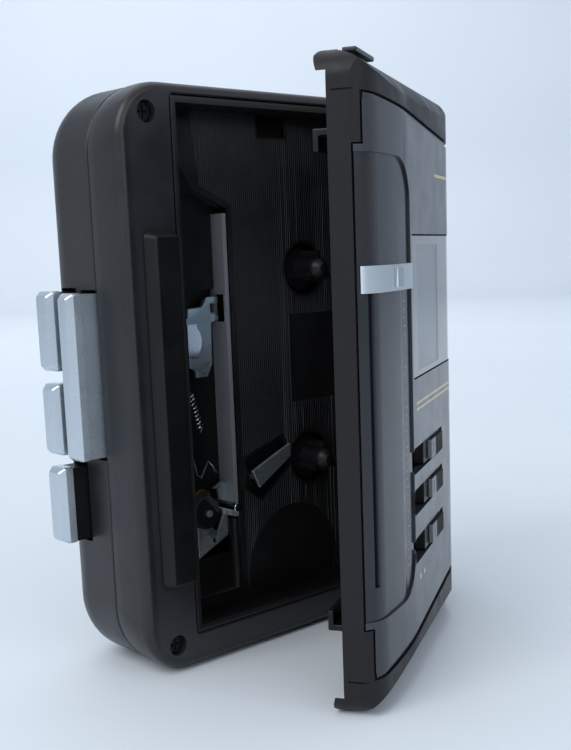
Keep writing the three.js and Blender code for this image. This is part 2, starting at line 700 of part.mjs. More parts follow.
const rollerX = capstanX - capstanRadius - 3.4 - 3;
const rollerZ = capstanZ;
const rollerRadius = 3.4;
const armTop = recessDepth - 2.3;
addPiece('pinch_arm', slab(polygon([
  [pivotX - 1.5, pivotZ + 2], [pivotX - 1.5, pivotZ - 2.4], [rollerX - 1.8, rollerZ - 1],
  [rollerX - 0.8, rollerZ - 1.8], [rollerX + 1.6, rollerZ - 1], [pivotX + 2, pivotZ - 2],
  [pivotX + 2, pivotZ + 2]]), armTop, armTop + 1)
  .subtract(rod('y', pivotX, pivotZ, 5, 20, 1.15, 16))
  .add(rod('y', rollerX, rollerZ, 0.9, armTop + 0.1, 0.7, 16)), 'steel');
addPiece('pinch_roller', rod('y', rollerX, rollerZ, 1.4, armTop - gap, rollerRadius, 28)
  .subtract(rod('y', rollerX, rollerZ, 0, 12, 0.74, 16)), 'rubber');

// Wire springs of the head slide and the pinch arm.
const springWire = 0.3;
addPiece('head_return_spring', wire([
  [-24, 9.8, 55.2], [-23.6, 9.4, 51], [-21.8, 9.2, 46.5], [-21.4, 9.3, 44.5],
], springWire), 'steel');
addPiece('pinch_spring', wire([
  [-24.4, 10.6, 44], [-22.6, 10.6, 40], [-21.6, 10.6, 36.6], [-19, 10.6, 39.6], [-17.2, 10.6, 37],
], springWire), 'steel');

// Sprung lever that feels the take-up reel.
addPiece('auto_stop_lever', slab(polygon([
  [-9.3, 36.4], [-7.4, 32.4], [2.2, 38], [2.2, 41]]), deckDepth - 1.3, deckDepth - 0.5)
  .add(rod('y', leverPivotX, leverPivotZ, deckDepth - 1.3, deckDepth + deckThickness + 1, 0.8, 14)), 'steel');

// ---------------------------------------------------------------- electronics in the body
const boardFront = chassisDepth + 1.1;
const boardThickness = 1.2;
const boardBack = boardFront + boardThickness;
addPiece('main_board', box(-28, bayLeft - bayWall - 1, boardFront, boardBack, mechanismTop + 2,
  bodyHeight - 4), 'board');
addPiece('volume_wheel', rod('y', volumeWheelX, volumeWheelZ, volumeWheelDepth,
  volumeWheelDepth + volumeWheelThickness, volumeWheelRadius, 36)
  .add(rod('y', volumeWheelX, volumeWheelZ, boardBack + gap, volumeWheelDepth + 0.1, 1.6, 16)),
'inner');
const jackTop = bodyHeight - wall - gap - 0.5;
addPiece('headphone_jack', union([
  box(jackX - 3.2, jackX + 3.2, jackDepth - 2.6, jackDepth + 2.6, jackTop - 11, jackTop),
  rod('z', jackX, jackDepth, jackTop - 0.1, bodyHeight - 0.1, 2.8, 20),
]).subtract(rod('z', jackX, jackDepth, jackTop - 9, bodyHeight + 2, jackBoreRadius, 16)), 'inner');

// Battery contacts: a plate at the lower end and a sprung cone at the upper end.
const cellX = (bayLeft + bayRight) / 2;
const cellY = insideBack - cellDiameter / 2;
addPiece('battery_contact_plate', box(cellX - 5, cellX + 5, cellY - 4, cellY + 4, bayBottom + gap,
  bayBottom + gap + 0.5), 'steel');
addPiece('battery_spring_contact', box(cellX - 5, cellX + 5, cellY - 4, cellY + 4, bayTop - gap - 0.5,
  bayTop - gap)
  .add(rod('z', cellX, cellY, bayTop - gap - 3, bayTop - gap - 0.4, 1.4, 14, 3.6)), 'steel');

// The door follows the back's rounding and turns on pegs along its inner edge.
const batteryDoor = coverOuter
  .intersect(box(doorHingeX - 0.7, bayRight + doorInset - gap, bodyDepth - doorThickness,
    bodyDepth + 1, doorBottom, doorTop))
  .add(rod('z', doorHingeX, pegDepth, doorBottom - 1.5, doorTop + 1.5, 0.6, 12));
addPiece('battery_door', batteryDoor, 'shell');

// ---------------------------------------------------------------- lid shells
// Cross-section of the lid's outside, seen from above: it rises from the side band to a flat
// middle, then falls away towards the hinge.
function lidSection() {
  const fallAngle = THREE.MathUtils.degToRad(lidFallAngle);
  const fallEnd = lidFallStart + lidFallRadius * Math.sin(fallAngle);
  const fallEndDepth = lidDepth - lidFallRadius * (1 - Math.cos(fallAngle));
  const hingeEdge = lidHalf + 1;
  const shape = new THREE.Shape();
  shape.moveTo(-lidHalf - 1, 20);
  shape.lineTo(-lidHalf - 1, -sideBandDepth + 0.6);
  shape.lineTo(-lidHalf, -sideBandDepth);
  shape.quadraticCurveTo(-lidHalf + 1.6, -lidSlopeStartDepth + 0.6, lidSlopeStart, -lidSlopeStartDepth);
  shape.quadraticCurveTo(lidSlopeEnd - 7, -lidDepth, lidSlopeEnd, -lidDepth);
  shape.lineTo(lidFallStart, -lidDepth);
  shape.absarc(lidFallStart, -lidDepth + lidFallRadius, lidFallRadius, -Math.PI / 2,
    -Math.PI / 2 + fallAngle, false);
  shape.lineTo(hingeEdge, -fallEndDepth + (hingeEdge - fallEnd) * Math.tan(fallAngle));
  shape.lineTo(hingeEdge, 20);
  shape.closePath();
  const geometry = new THREE.ExtrudeGeometry(shape, {
    depth: bodyHeight + 20, bevelEnabled: false, curveSegments: 7,
  });
  geometry.translate(0, 0, -10);
  return toSolid(geometry);
}
const lidProfile = lidSection();
// The same profile sunk by a depth, for floors and linings that follow the outside.
const sunk = (depth) => lidProfile.translate([0, depth, 0]);


// Both ends lean in towards the face along a curve; clear pulls them in by a wall.
function endProfile(clear) {
  const shape = new THREE.Shape();
  const front = lidDepth - clear;
  shape.moveTo(20, clear);
  shape.lineTo(0, clear);
  shape.quadraticCurveTo(-(front - 2.9), clear + 1, -front, clear + lidEndInset);
  shape.lineTo(-front, bodyHeight - clear - lidEndInset);
  shape.quadraticCurveTo(-(front - 2.9), bodyHeight - clear - 1, 0, bodyHeight - clear);
  shape.lineTo(20, bodyHeight - clear);
  shape.closePath();
  const geometry = new THREE.ExtrudeGeometry(shape, {
    depth: bodyWidth + 40, bevelEnabled: false, curveSegments: 8,
  });
  // The extrusion runs along +Z with the outline in XY; turn it so that it runs along +X.
  geometry.applyMatrix4(new THREE.Matrix4().set(
    0, 0, 1, -bodyWidth / 2 - 20,
    1, 0, 0, 0,
    0, 1, 0, 0,
    0, 0, 0, 1,
  ));
  return toSolid(geometry);
}

const lidOutline = roundedOutline(lidWidth, bodyHeight, lidCornerRadius);
const lidOuter = slab(lidOutline, -lidDepth, -gap).intersect(lidProfile).intersect(endProfile(0));
const lidCavity = slab(roundedOutline(lidWidth - 2 * lidWall, bodyHeight - 2 * lidWall,
  lidCornerRadius - lidWall), lidInside, 1)
  .intersect(sunk(lidWall))
  .intersect(endProfile(lidWall));

// The front panel's outline between the end caps, whose edges slant towards the hinge.
function panelOutline(clear) {
  const low = endCapRise + clear;
  const far = endCapRise + endCapSlant + clear;
  return polygon([
    [-lidHalf - 1, low],
    [lidHalf + 1, far],
    [lidHalf + 1, bodyHeight - far],
    [-lidHalf - 1, bodyHeight - low],
  ]);
}
const panelZone = slab(panelOutline(0), -lidDepth - 1, -sideBandDepth);

const knuckle = union([
  rod('z', hingeX, hingeDepth, knuckleFromEnd, knuckleFromEnd + knuckleLength, knuckleRadius, 20),
  box(hingeX - knuckleRadius + 0.2, hingeX + knuckleRadius - 0.2, -0.6, hingeDepth, knuckleFromEnd,
    knuckleFromEnd + knuckleLength),
]).subtract(rod('z', hingeX, hingeDepth, 0, 30, hingePinRadius + 0.1, 20));

// The free corners of the lid reach past the rim, outside the body's rounder corners.
const skirtClear = 0.5;
const skirtZone = slab(lidOutline, -gap - 0.1, lidSkirtDepth)
  .subtract(slab(roundedOutline(bodyWidth + 2 * skirtClear, bodyHeight + 2 * skirtClear,
    cornerRadius + skirtClear), -1, lidSkirtDepth + 1))
  .intersect(box(-lidHalf - 1, -halfWidth + cornerRadius, -1, lidSkirtDepth + 1, 0, cornerRadius));
const cornerSkirts = skirtZone.add(mirrorInHeight(skirtZone));

// The rim band and both end caps, with knuckles that reach into the body. A step inside
// the band carries the front panel.
const lidShell = lidOuter
  .subtract(lidCavity)
  .subtract(panelZone)
  .add(knuckle)
  .add(mirrorInHeight(knuckle))
  .add(cornerSkirts);
addPiece('lid_shell', lidShell, 'shell', lid);

// ---------------------------------------------------------------- front panel
const troughTop = 99;
const troughBottom = 18;
const trough = slab(roundedOutline(60, troughTop - troughBottom, 8, troughRight - 30,
  (troughTop + troughBottom) / 2), -lidDepth - 2, 0).subtract(sunk(troughFloor));
const windowHole = box(-windowWidth / 2, windowWidth / 2, -lidDepth - 2, lidInside + 1,
  windowZ - windowHeight / 2, windowZ + windowHeight / 2);

function switchSlot(z) {
  return box(switchLeft, switchLeft + switchLength, -lidDepth - 2, lidInside + 1,
    z - switchHeight / 2, z + switchHeight / 2);
}

const sliderTravel = 52;
const neckHalf = sliderNeckWidth / 2;
const neckReach = 1.6;
const sliderSlot = box(sliderNeckX - neckHalf - runningGap, sliderNeckX + neckHalf + runningGap,
  -lidDepth - 2, 0, sliderZ - sliderTravel - neckReach - runningGap, sliderZ + neckReach + runningGap);
const frontPanel = lidOuter
  .subtract(lidCavity)
  .intersect(slab(panelOutline(gap), -lidDepth - 1, -sideBandDepth - gap))
  .subtract(trough)
  .subtract(windowHole)
  .subtract(union(switchZs.map(switchSlot)))
  .subtract(sliderSlot);
addPiece('front_panel', frontPanel, 'panel', lid);

const lensDepth = 0.1;
const lensThickness = 1;
addPiece('window_lens', box(-windowWidth / 2 + gap, windowWidth / 2 - gap, -lidDepth - 1, lidInside + 1,
  windowZ - windowHeight / 2 + gap, windowZ + windowHeight / 2 - gap)
  .intersect(sunk(lensDepth))
  .subtract(sunk(lensDepth + lensThickness)), 'clear', lid);

// Tuning slider: a bar across the trough on a neck that passes through the slot.
const sliderBar = union([
  box(-lidHalf + 0.8, troughRight - 0.6, -lidDepth - 1, -sideBandDepth - 2 * gap,
    sliderZ - sliderHeight / 2, sliderZ + sliderHeight / 2)
    .intersect(sunk(-sliderProud))
    .subtract(sunk(troughFloor - gap)),
  box(sliderNeckX - neckHalf, sliderNeckX + neckHalf, -lidDepth + 2.8, -lidDepth + 6,
    sliderZ - neckReach, sliderZ + neckReach),
]);
addPiece('tuning_slider', sliderBar, 'silver', lid);

// Slide switches: a black knob with a raised ribbed end in each slot, on a switch body.
const switchNames = ['band_switch', 'tone_switch', 'mode_switch'];
const knobLength = 17;
const knobRest = 10.5;
switchZs.forEach((z, i) => {
  const x0 = switchLeft + knobRest;
  addPiece(`${switchNames[i]}_knob`, union([
    box(x0, x0 + knobLength, -lidDepth + 0.3, lidInside + 0.5, z - switchHeight / 2 + gap,
      z + switchHeight / 2 - gap),
    box(x0 + 4, x0 + knobLength - 0.6, -lidDepth - 0.9, -lidDepth + 0.4, z - switchHeight / 2 + 0.6,
      z + switchHeight / 2 - 0.6),
  ]), 'inner', lid);
  addPiece(`${switchNames[i]}_body`, box(switchLeft + 2, switchLeft + switchLength - 2,
    lidInside + 0.9, lidInside + 2.6, z - switchHeight / 2 + gap, z + switchHeight / 2 - gap),
  'steel', lid);
});

// ---------------------------------------------------------------- inside of the lid
const linerFront = lidInside + 3.5;
const linerBack = linerFront + 1.1;
const linerLeft = -lidHalf + lidWall + 2.4;
const linerRight = lidFallStart + 11.6;
const linerEnd = 6.4;
const liner = slab(roundedOutline(linerRight - linerLeft, bodyHeight - 2 * linerEnd, 6,
  (linerLeft + linerRight) / 2), linerFront, linerBack)
  .intersect(sunk(lidWall + gap))
  .subtract(box(-windowWidth / 2 + 2, windowWidth / 2 - 2, -10, 0, windowZ - windowHeight / 2 + 2,
    windowZ + windowHeight / 2 - 2));
addPiece('lid_liner', liner, 'inner', lid);

// Tuner board between the panel and the liner.
const tunerBoardThickness = 0.6;
const tunerBoardBack = linerFront - gap;
addPiece('tuner_board', box(-27, 22, tunerBoardBack - tunerBoardThickness, tunerBoardBack, 20, 54),
  'board', lid);

// Leaf spring that holds the cassette against the spindles.
addPiece('cassette_spring', union([
  box(-4, 18, linerBack + gap, linerBack + gap + 0.4, 47, 51),
  slab(polygon([[-4, 47.4], [-1, 47.4], [-1, 50.6], [-4, 50.6]]), linerBack + gap, linerBack + 1.4),
]), 'steel', lid);

// Loop-shaped guides that take the ends of the cassette.
const guideX = -29.4;
const guideLoop = union([
  box(guideX - 1, guideX + 8, linerBack + gap, 6.2, 11.6, 12.8),
  box(guideX - 1, guideX + 8, 5, 6.2, 11.6, 15.6),
]);
addPiece('cassette_guide_lower', guideLoop, 'inner', lid);
addPiece('cassette_guide_upper', mirrorInHeight(guideLoop), 'inner', lid);

// Thumb tab on the top end of the lid.
addPiece('lid_tab', box(-34, -21, -3.2, -0.6, bodyHeight + gap, bodyHeight + 1.2), 'inner', lid);

// ---------------------------------------------------------------- placing
lid.children.forEach((piece) => piece.geometry.translate(-hingeX, -hingeDepth, 0));
lid.position.set(hingeX, hingeDepth, 0);
lid.rotation.z = THREE.MathUtils.degToRad(lidOpenAngle);
player.add(lid);
player.position.y = -bodyDepth / 2;

export default player;
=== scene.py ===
"""Looks of the portable cassette player: detailed meshes and materials around the CAD frame."""

import json
import math

import bmesh
import bpy
from mathutils import Matrix, Vector

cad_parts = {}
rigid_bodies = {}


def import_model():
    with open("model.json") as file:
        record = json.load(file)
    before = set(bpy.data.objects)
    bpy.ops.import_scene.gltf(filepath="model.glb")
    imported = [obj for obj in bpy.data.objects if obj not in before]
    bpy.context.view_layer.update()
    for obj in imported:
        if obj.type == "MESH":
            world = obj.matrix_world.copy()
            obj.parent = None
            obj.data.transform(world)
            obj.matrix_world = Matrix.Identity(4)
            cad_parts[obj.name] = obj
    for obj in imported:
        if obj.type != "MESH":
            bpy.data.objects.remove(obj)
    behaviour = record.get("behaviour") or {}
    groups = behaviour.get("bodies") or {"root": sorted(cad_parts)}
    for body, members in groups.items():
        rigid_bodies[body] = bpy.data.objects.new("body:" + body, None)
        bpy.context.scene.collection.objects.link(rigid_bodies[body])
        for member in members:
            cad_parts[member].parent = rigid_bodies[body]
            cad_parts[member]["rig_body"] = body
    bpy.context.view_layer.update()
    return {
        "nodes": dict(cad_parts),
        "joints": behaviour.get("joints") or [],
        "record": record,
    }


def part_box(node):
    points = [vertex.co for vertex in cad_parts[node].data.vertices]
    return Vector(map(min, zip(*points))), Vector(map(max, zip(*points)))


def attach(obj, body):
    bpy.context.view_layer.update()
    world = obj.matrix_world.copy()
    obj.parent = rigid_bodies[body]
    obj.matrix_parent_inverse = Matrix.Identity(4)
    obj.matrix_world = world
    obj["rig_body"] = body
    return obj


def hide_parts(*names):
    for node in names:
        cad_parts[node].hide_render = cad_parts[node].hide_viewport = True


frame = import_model()

# Shapes are worked out in millimetres in the body's own coordinates: x from the keys to the
# hinge, y = 0 at the rim with +y into the body, z up from the bottom end. Lid pieces are worked
# out as they lie on the closed lid and are then turned open about the hinge.
MM = 0.001
JOINTS = {joint["name"]: joint for joint in frame["joints"]}


def node_box(name):
    """Lowest and highest corner of a CAD node in millimetres, in the row frame."""
    low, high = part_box(name)
    return low / MM, high / MM


COVER_LOW, COVER_HIGH = node_box("rear_cover")
RIM_Y = -COVER_HIGH.y
WIDTH = COVER_HIGH.x - COVER_LOW.x
HEIGHT = COVER_HIGH.z - COVER_LOW.z
DEPTH = 27.0
HALF = WIDTH / 2
MIDDLE_Z = HEIGHT / 2
CORNER = 14.0
RIM_CORNER = 10.5
BACK_ROUND = 8.0
WALL = 2.0
SEAM = 9.5
RIM_INSET = 1.3
GAP = 0.3
RUN_GAP = 0.4

LID_WIDTH = 87.7
LID_HALF = LID_WIDTH / 2
LID_DEPTH = 9.4
LID_CORNER = 5.0
LID_WALL = 1.8
LID_END_INSET = 6.5
SKIRT_TIP = 2.1
SKIRT_CLEAR = 0.5
SKIRT_RIGHT = -31.5
BAND = 4.3
CAP_RISE = 7.0
CAP_SLANT = 6.0
LID_OPEN = math.radians(-JOINTS["lid_hinge"]["range_deg"][0])
HINGE = Vector(JOINTS["lid_hinge"]["pos_m"]) / MM
HINGE_X, HINGE_Y = HINGE.x, HINGE.y - RIM_Y

WELL = (-32.5, 38.6, 7.0, 113.4)
DECK = 8.3
FLANGE_X = -12.6
SPINDLE_X = 9.3
SPINDLE_ZS = (36.75, 79.25)
BAR_X = (-39.5, -34.3)
STRIP_WIDTH = 1.5
STRIP_BOTTOM = 38
ARC_X, ARC_Z, ARC_RADIUS = 3.3, 13.0, 13.8
VIEW_HEADING = math.radians(46.66)

BODY_TO_ROW = Matrix.Translation(Vector((0, RIM_Y, 0)))
LID_TO_ROW = (
    BODY_TO_ROW
    @ Matrix.Translation(Vector((HINGE_X, HINGE_Y, 0)))
    @ Matrix.Rotation(LID_OPEN, 4, "Z")
    @ Matrix.Translation(Vector((-HINGE_X, -HINGE_Y, 0)))
)


# ---------------------------------------------------------------- materials
def shader(name):
    material = bpy.data.materials.new(name)
    material.use_nodes = True
    nodes = material.node_tree.nodes
    return material, nodes, material.node_tree.links, nodes["Principled BSDF"]


def noise(nodes, links, scale, detail=3.0, stretch=(1, 1, 1)):
    """A noise texture in object coordinates, stretched along the axes if asked."""
    place = nodes.new("ShaderNodeTexCoord")
    mapping = nodes.new("ShaderNodeMapping")
    mapping.inputs["Scale"].default_value = stretch
    texture = nodes.new("ShaderNodeTexNoise")
    texture.inputs["Scale"].default_value = scale
    texture.inputs["Detail"].default_value = detail
    links.new(place.outputs["Object"], mapping.inputs["Vector"])
    links.new(mapping.outputs["Vector"], texture.inputs["Vector"])
    return texture.outputs["Fac"]


def spread(nodes, links, value, low, high):
    ranger = nodes.new("ShaderNodeMapRange")
    ranger.inputs["From Min"].default_value = 0.3
    ranger.inputs["From Max"].default_value = 0.7
    ranger.inputs["To Min"].default_value = low
    ranger.inputs["To Max"].default_value = high
    links.new(value, ranger.inputs["Value"])
    return ranger.outputs["Result"]


def mix(nodes, links, factor, first, second):
    blend = nodes.new("ShaderNodeMix")
    blend.data_type = "RGBA"
    links.new(factor, blend.inputs["Factor"])
    for socket, colour in ((blend.inputs["A"], first), (blend.inputs["B"], second)):
        if isinstance(colour, tuple):
            socket.default_value = (*colour, 1)
        else:
            links.new(colour, socket)
    return blend.outputs["Result"]


def edge_wear(nodes, links, low=0.53, high=0.6):
    """Grows towards 1 on outward edges, where hands polish the surface."""
    geometry = nodes.new("ShaderNodeNewGeometry")
    ramp = nodes.new("ShaderNodeMapRange")
    ramp.inputs["From Min"].default_value = low
    ramp.inputs["From Max"].default_value = high
    links.new(geometry.outputs["Pointiness"], ramp.inputs["Value"])
    return ramp.outputs["Result"]


def surface(name, colour, rough, grain, bump, metal=0.0, coat=0.0, worn=None, spec=0.5,
            stretch=(1, 1, 1), drift=0.25):
    """A finish with fine grain, slow colour drift, smudged roughness and worn edges."""
    material, nodes, links, bsdf = shader(name)
    darker = tuple(c * (1 - drift) for c in colour)
    lighter = tuple(min(c * (1 + drift), 1) for c in colour)
    slow = noise(nodes, links, 70, 4)
    base = mix(nodes, links, slow, darker, lighter)
    if worn:
        base = mix(nodes, links, edge_wear(nodes, links), base, worn)
    links.new(base, bsdf.inputs["Base Color"])
    smudge = noise(nodes, links, 160, 5, stretch)
    links.new(spread(nodes, links, smudge, rough * 0.8, min(rough * 1.25, 1)), bsdf.inputs["Roughness"])
    bsdf.inputs["Metallic"].default_value = metal
    bsdf.inputs["Specular IOR Level"].default_value = spec
    bsdf.inputs["Coat Weight"].default_value = coat
    bsdf.inputs["Coat Roughness"].default_value = 0.08
    relief = nodes.new("ShaderNodeBump")
    relief.inputs["Strength"].default_value = bump
    relief.inputs["Distance"].default_value = 0.00005
    links.new(noise(nodes, links, grain, 2, stretch), relief.inputs["Height"])
    links.new(relief.outputs["Normal"], bsdf.inputs["Normal"])
    return material


def clear_plastic(name, colour, rough):
    """Tinted clear moulding with faint smears."""
    material, nodes, links, bsdf = shader(name)
    links.new(mix(nodes, links, noise(nodes, links, 90), colour, tuple(c * 0.93 for c in colour)),
              bsdf.inputs["Base Color"])
    links.new(spread(nodes, links, noise(nodes, links, 220, 5), rough, rough * 2.5),
              bsdf.inputs["Roughness"])
    bsdf.inputs["Transmission Weight"].default_value = 0.92
    bsdf.inputs["IOR"].default_value = 1.3
    relief = nodes.new("ShaderNodeBump")
    relief.inputs["Strength"].default_value = 0.03
    relief.inputs["Distance"].default_value = 0.00003
    links.new(noise(nodes, links, 900), relief.inputs["Height"])
    links.new(relief.outputs["Normal"], bsdf.inputs["Normal"])
    return material


SHELL = surface("shell_black", (0.0105, 0.011, 0.0135), 0.36, 5200, 0.2, worn=(0.018, 0.019, 0.023))
BANDED = surface("lid_band_black", (0.006, 0.006, 0.007), 0.42, 5200, 0.2,
                 worn=(0.012, 0.012, 0.014), spec=0.22)
PANEL = surface("panel_gloss", (0.017, 0.02, 0.026), 0.22, 2600, 0.03, coat=0.1,
                worn=(0.03, 0.034, 0.042), spec=0.4)
TROUGH = surface("trough_gloss", (0.012, 0.014, 0.019), 0.2, 2600, 0.03, coat=0.1, spec=0.4)
# Black inner plastic made near-black: partly its own colour, partly painted shade for parts deep in the
# body and in the lid's shadow, such as the spindles.
INNER_BLACK_AND_PAINTED_SHADE = surface("inner_black_and_painted_shade", (0.0035, 0.0035, 0.004), 0.42, 3800, 0.1, worn=(0.007, 0.007, 0.008),
                spec=0.3)
RIBBED = surface("deck_black", (0.008, 0.008, 0.0085), 0.42, 3800, 0.08, worn=(0.02, 0.02, 0.021))
SILVER = surface("silver_paint", (0.5, 0.57, 0.63), 0.28, 7000, 0.1, metal=0.72, coat=0.25,
                 worn=(0.62, 0.69, 0.75), drift=0.04)
BRIGHT = surface("slider_silver", (0.32, 0.38, 0.43), 0.3, 7000, 0.08, metal=0.35, coat=0.2,
                 worn=(0.9, 0.95, 1.0), drift=0.04)
STEEL = surface("plated_steel", (0.34, 0.42, 0.46), 0.3, 1500, 0.14, metal=0.85,
                worn=(0.7, 0.76, 0.8), stretch=(1, 1, 6), drift=0.12)
POLISHED = surface("polished_steel", (0.6, 0.64, 0.68), 0.14, 1500, 0.05, metal=1.0, drift=0.08)
BRASS = surface("turned_brass", (0.55, 0.4, 0.16), 0.28, 1500, 0.12, metal=1.0, drift=0.12)
RUBBER = surface("rubber", (0.012, 0.012, 0.012), 0.75, 3000, 0.3, drift=0.3)
NYLON = surface("nylon", (0.62, 0.62, 0.56), 0.45, 3000, 0.1, drift=0.08)
BOARD = surface("circuit_board", (0.02, 0.1, 0.035), 0.4, 1200, 0.2, coat=0.3, drift=0.3)
# Blackened steel for the screws and the roller hub; on the mechanism chassis the same near-black is painted
# shade.
BLACK_STEEL_AND_PAINTED_SHADE = surface("blackened_steel_and_painted_shade", (0.01, 0.01, 0.011), 0.45, 1500, 0.12, metal=0.6, drift=0.2)
GREY_PLATE = surface("grey_plate", (0.3, 0.31, 0.33), 0.38, 1500, 0.1, metal=0.3, drift=0.12)
SWITCH_GREY = surface("switch_grey", (0.12, 0.13, 0.145), 0.35, 3800, 0.1)
GOLD = surface("gold_print", (0.62, 0.54, 0.33), 0.4, 4000, 0.1, metal=0.3, drift=0.1)
PALE_PRINT = surface("pale_print", (0.3, 0.33, 0.38), 0.5, 4000, 0.1, drift=0.1)
LENS = clear_plastic("window_clear", (0.75, 0.8, 0.88), 0.05)
LENS_BORDER = surface("window_border", (0.035, 0.041, 0.053), 0.1, 2600, 0.02, coat=0.6)


# ---------------------------------------------------------------- solids
def to_object(bm, name="solid"):
    mesh = bpy.data.meshes.new(name)
    bmesh.ops.recalc_face_normals(bm, faces=bm.faces)
    bm.to_mesh(mesh)
    bm.free()
    obj = bpy.data.objects.new(name, mesh)
    bpy.context.scene.collection.objects.link(obj)
    return obj


def loft(rings, closed=False):
    """Quads between rings of equal length; the ends are capped unless the rings close up."""
    bm = bmesh.new()
    rows = [[bm.verts.new(p) for p in ring] for ring in rings]
    count = len(rows[0])
    pairs = list(zip(rows, rows[1:]))
    if closed:
        pairs.append((rows[-1], rows[0]))
    for low, high in pairs:
        for i in range(count):
            j = (i + 1) % count
            bm.faces.new((low[i], low[j], high[j], high[i]))
    if not closed:
        bm.faces.new(rows[0])
        bm.faces.new(list(reversed(rows[-1])))
    return to_object(bm)


def slab(points, front, back):
    """An outline in x and z given thickness along y."""
    return loft([[(x, y, z) for x, z in points] for y in (front, back)])


def block(x0, x1, y0, y1, z0, z1):
    return slab([(x0, z0), (x1, z0), (x1, z1), (x0, z1)], y0, y1)


def circle(a, b, radius, count):
    steps = [2 * math.pi * i / count for i in range(count)]
    return [(a + radius * math.cos(t), b + radius * math.sin(t)) for t in steps]


def rod(axis, a, b, stations, count=40):
    """A turned solid along x, y or z; stations are (place on the axis, radius)."""
    order = {"x": lambda s, p: (s, *p), "y": lambda s, p: (p[0], s, p[1]), "z": lambda s, p: (*p, s)}
    return loft([[order[axis](s, p) for p in circle(a, b, r, count)] for s, r in stations])


def rounded(half_w, half_h, radius, cx=0.0, cz=MIDDLE_Z, arc=10, side=1):
    """Points of a rounded rectangle in x and z; each straight side has side stretches."""
    r = max(min(radius, half_w, half_h), 0.05)
    corners = [(half_w - r, -half_h + r, -90), (half_w - r, half_h - r, 0),
               (-half_w + r, half_h - r, 90), (-half_w + r, -half_h + r, 180)]
    points = []
    for x, z, start in corners:
        for i in range(arc + 1):
            t = math.radians(start + 90 * i / arc)
            points.append((cx + x + r * math.cos(t), cz + z + r * math.sin(t)))
    if side > 1:
        filled = []
        for i, p in enumerate(points):
            q = points[(i + 1) % len(points)]
            steps = side if i % (arc + 1) == arc else 1
            filled += [(p[0] + (q[0] - p[0]) * k / steps, p[1] + (q[1] - p[1]) * k / steps)
                       for k in range(steps)]
        points = filled
    return points


def combine(target, tools, operation):
    for tool in tools:
        change = target.modifiers.new("change", "BOOLEAN")
        change.operation = operation
        change.object = tool
        change.solver = "MANIFOLD"
        bpy.context.view_layer.update()
        graph = bpy.context.evaluated_depsgraph_get()
        mesh = bpy.data.meshes.new_from_object(target.evaluated_get(graph))
        target.modifiers.clear()
        target.data = mesh
        bpy.data.objects.remove(tool)
    return target


def cut(target, *tools):
    return combine(target, tools, "DIFFERENCE")


def add(target, *tools):
    return combine(target, tools, "UNION")


def keep(target, *tools):
    return combine(target, tools, "INTERSECT")


def apply_modifiers(obj):
    bpy.context.view_layer.update()
    graph = bpy.context.evaluated_depsgraph_get()
    mesh = bpy.data.meshes.new_from_object(obj.evaluated_get(graph))
    obj.modifiers.clear()
    obj.data = mesh


def soften(obj, width, steps, sharp=32.0):
    """Rounds every sharp edge by a small width."""
    bm = bmesh.new()
    bm.from_mesh(obj.data)
    bmesh.ops.remove_doubles(bm, verts=bm.verts, dist=0.0005)
    bmesh.ops.dissolve_degenerate(bm, edges=bm.edges, dist=0.0005)
    bmesh.ops.dissolve_limit(bm, angle_limit=math.radians(0.6), verts=bm.verts, edges=bm.edges)
    bm.to_mesh(obj.data)
    bm.free()
    if width:
        edge = obj.modifiers.new("edge", "BEVEL")
        edge.width = width
        edge.segments = steps
        edge.limit_method = "ANGLE"
        edge.angle_limit = math.radians(sharp)
        edge.use_clamp_overlap = True
        edge.miter_outer = "MITER_ARC"
        apply_modifiers(obj)


def split(obj, places):
    """Extra edges across a mesh where its material changes; places are (axis, distance)."""
    bm = bmesh.new()
    bm.from_mesh(obj.data)
    for axis, distance in places:
        normal = Vector([float(axis == name) for name in "xyz"])
        parts = bm.verts[:] + bm.edges[:] + bm.faces[:]
        bmesh.ops.bisect_plane(bm, geom=parts, plane_co=normal * distance, plane_no=normal)
    bm.to_mesh(obj.data)
    bm.free()


def piece(obj, name, body, slot, finish, replaces=(), width=0.2, steps=2, place=BODY_TO_ROW, zones=None,
          splits=()):
    """Finishes a solid: rounded edges, smooth shading, materials, and the body that it rides on.
    zones(x, y, z) picks the material of a face from its middle, when there is more than one."""
    soften(obj, width, steps)
    split(obj, splits)
    finishes = finish if isinstance(finish, (list, tuple)) else [finish]
    mesh = obj.data
    mesh.materials.clear()
    for material in finishes:
        mesh.materials.append(material)
    if zones:
        for face in mesh.polygons:
            face.material_index = zones(*face.center)
    mesh.transform(Matrix.Scale(MM, 4) @ place)
    for face in mesh.polygons:
        face.use_smooth = True
    mesh.set_sharp_from_angle(angle=math.radians(38))
    even = obj.modifiers.new("even", "WEIGHTED_NORMAL")
    even.keep_sharp = True
    obj.name = name
    mesh.name = name
    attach(obj, body)
    if replaces:
        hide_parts(*replaces)
    return obj


def lid_piece(obj, name, slot, finish, replaces=(), body="lid", **options):
    return piece(obj, name, body, slot, finish, replaces, place=LID_TO_ROW, **options)


def refined(node, finish, width=0.12, steps=2, more=None, **options):
    """The CAD node's own shape in body coordinates, with more added and its edges rounded."""
    source = frame["nodes"][node]
    obj = bpy.data.objects.new(node, source.data.copy())
    obj.data.transform(BODY_TO_ROW.inverted() @ Matrix.Scale(1 / MM, 4))
    bpy.context.scene.collection.objects.link(obj)
    bm = bmesh.new()
    bm.from_mesh(obj.data)
    bmesh.ops.remove_doubles(bm, verts=bm.verts, dist=0.001)
    bm.to_mesh(obj.data)
    bm.free()
    if more:
        obj = more(obj)
    slot = [part["material_slot"] for part in frame["record"]["subparts"] if part["node"] == node][0]
    return piece(obj, node + "_detail", source["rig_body"], slot, finish, [node], width, steps, **options)


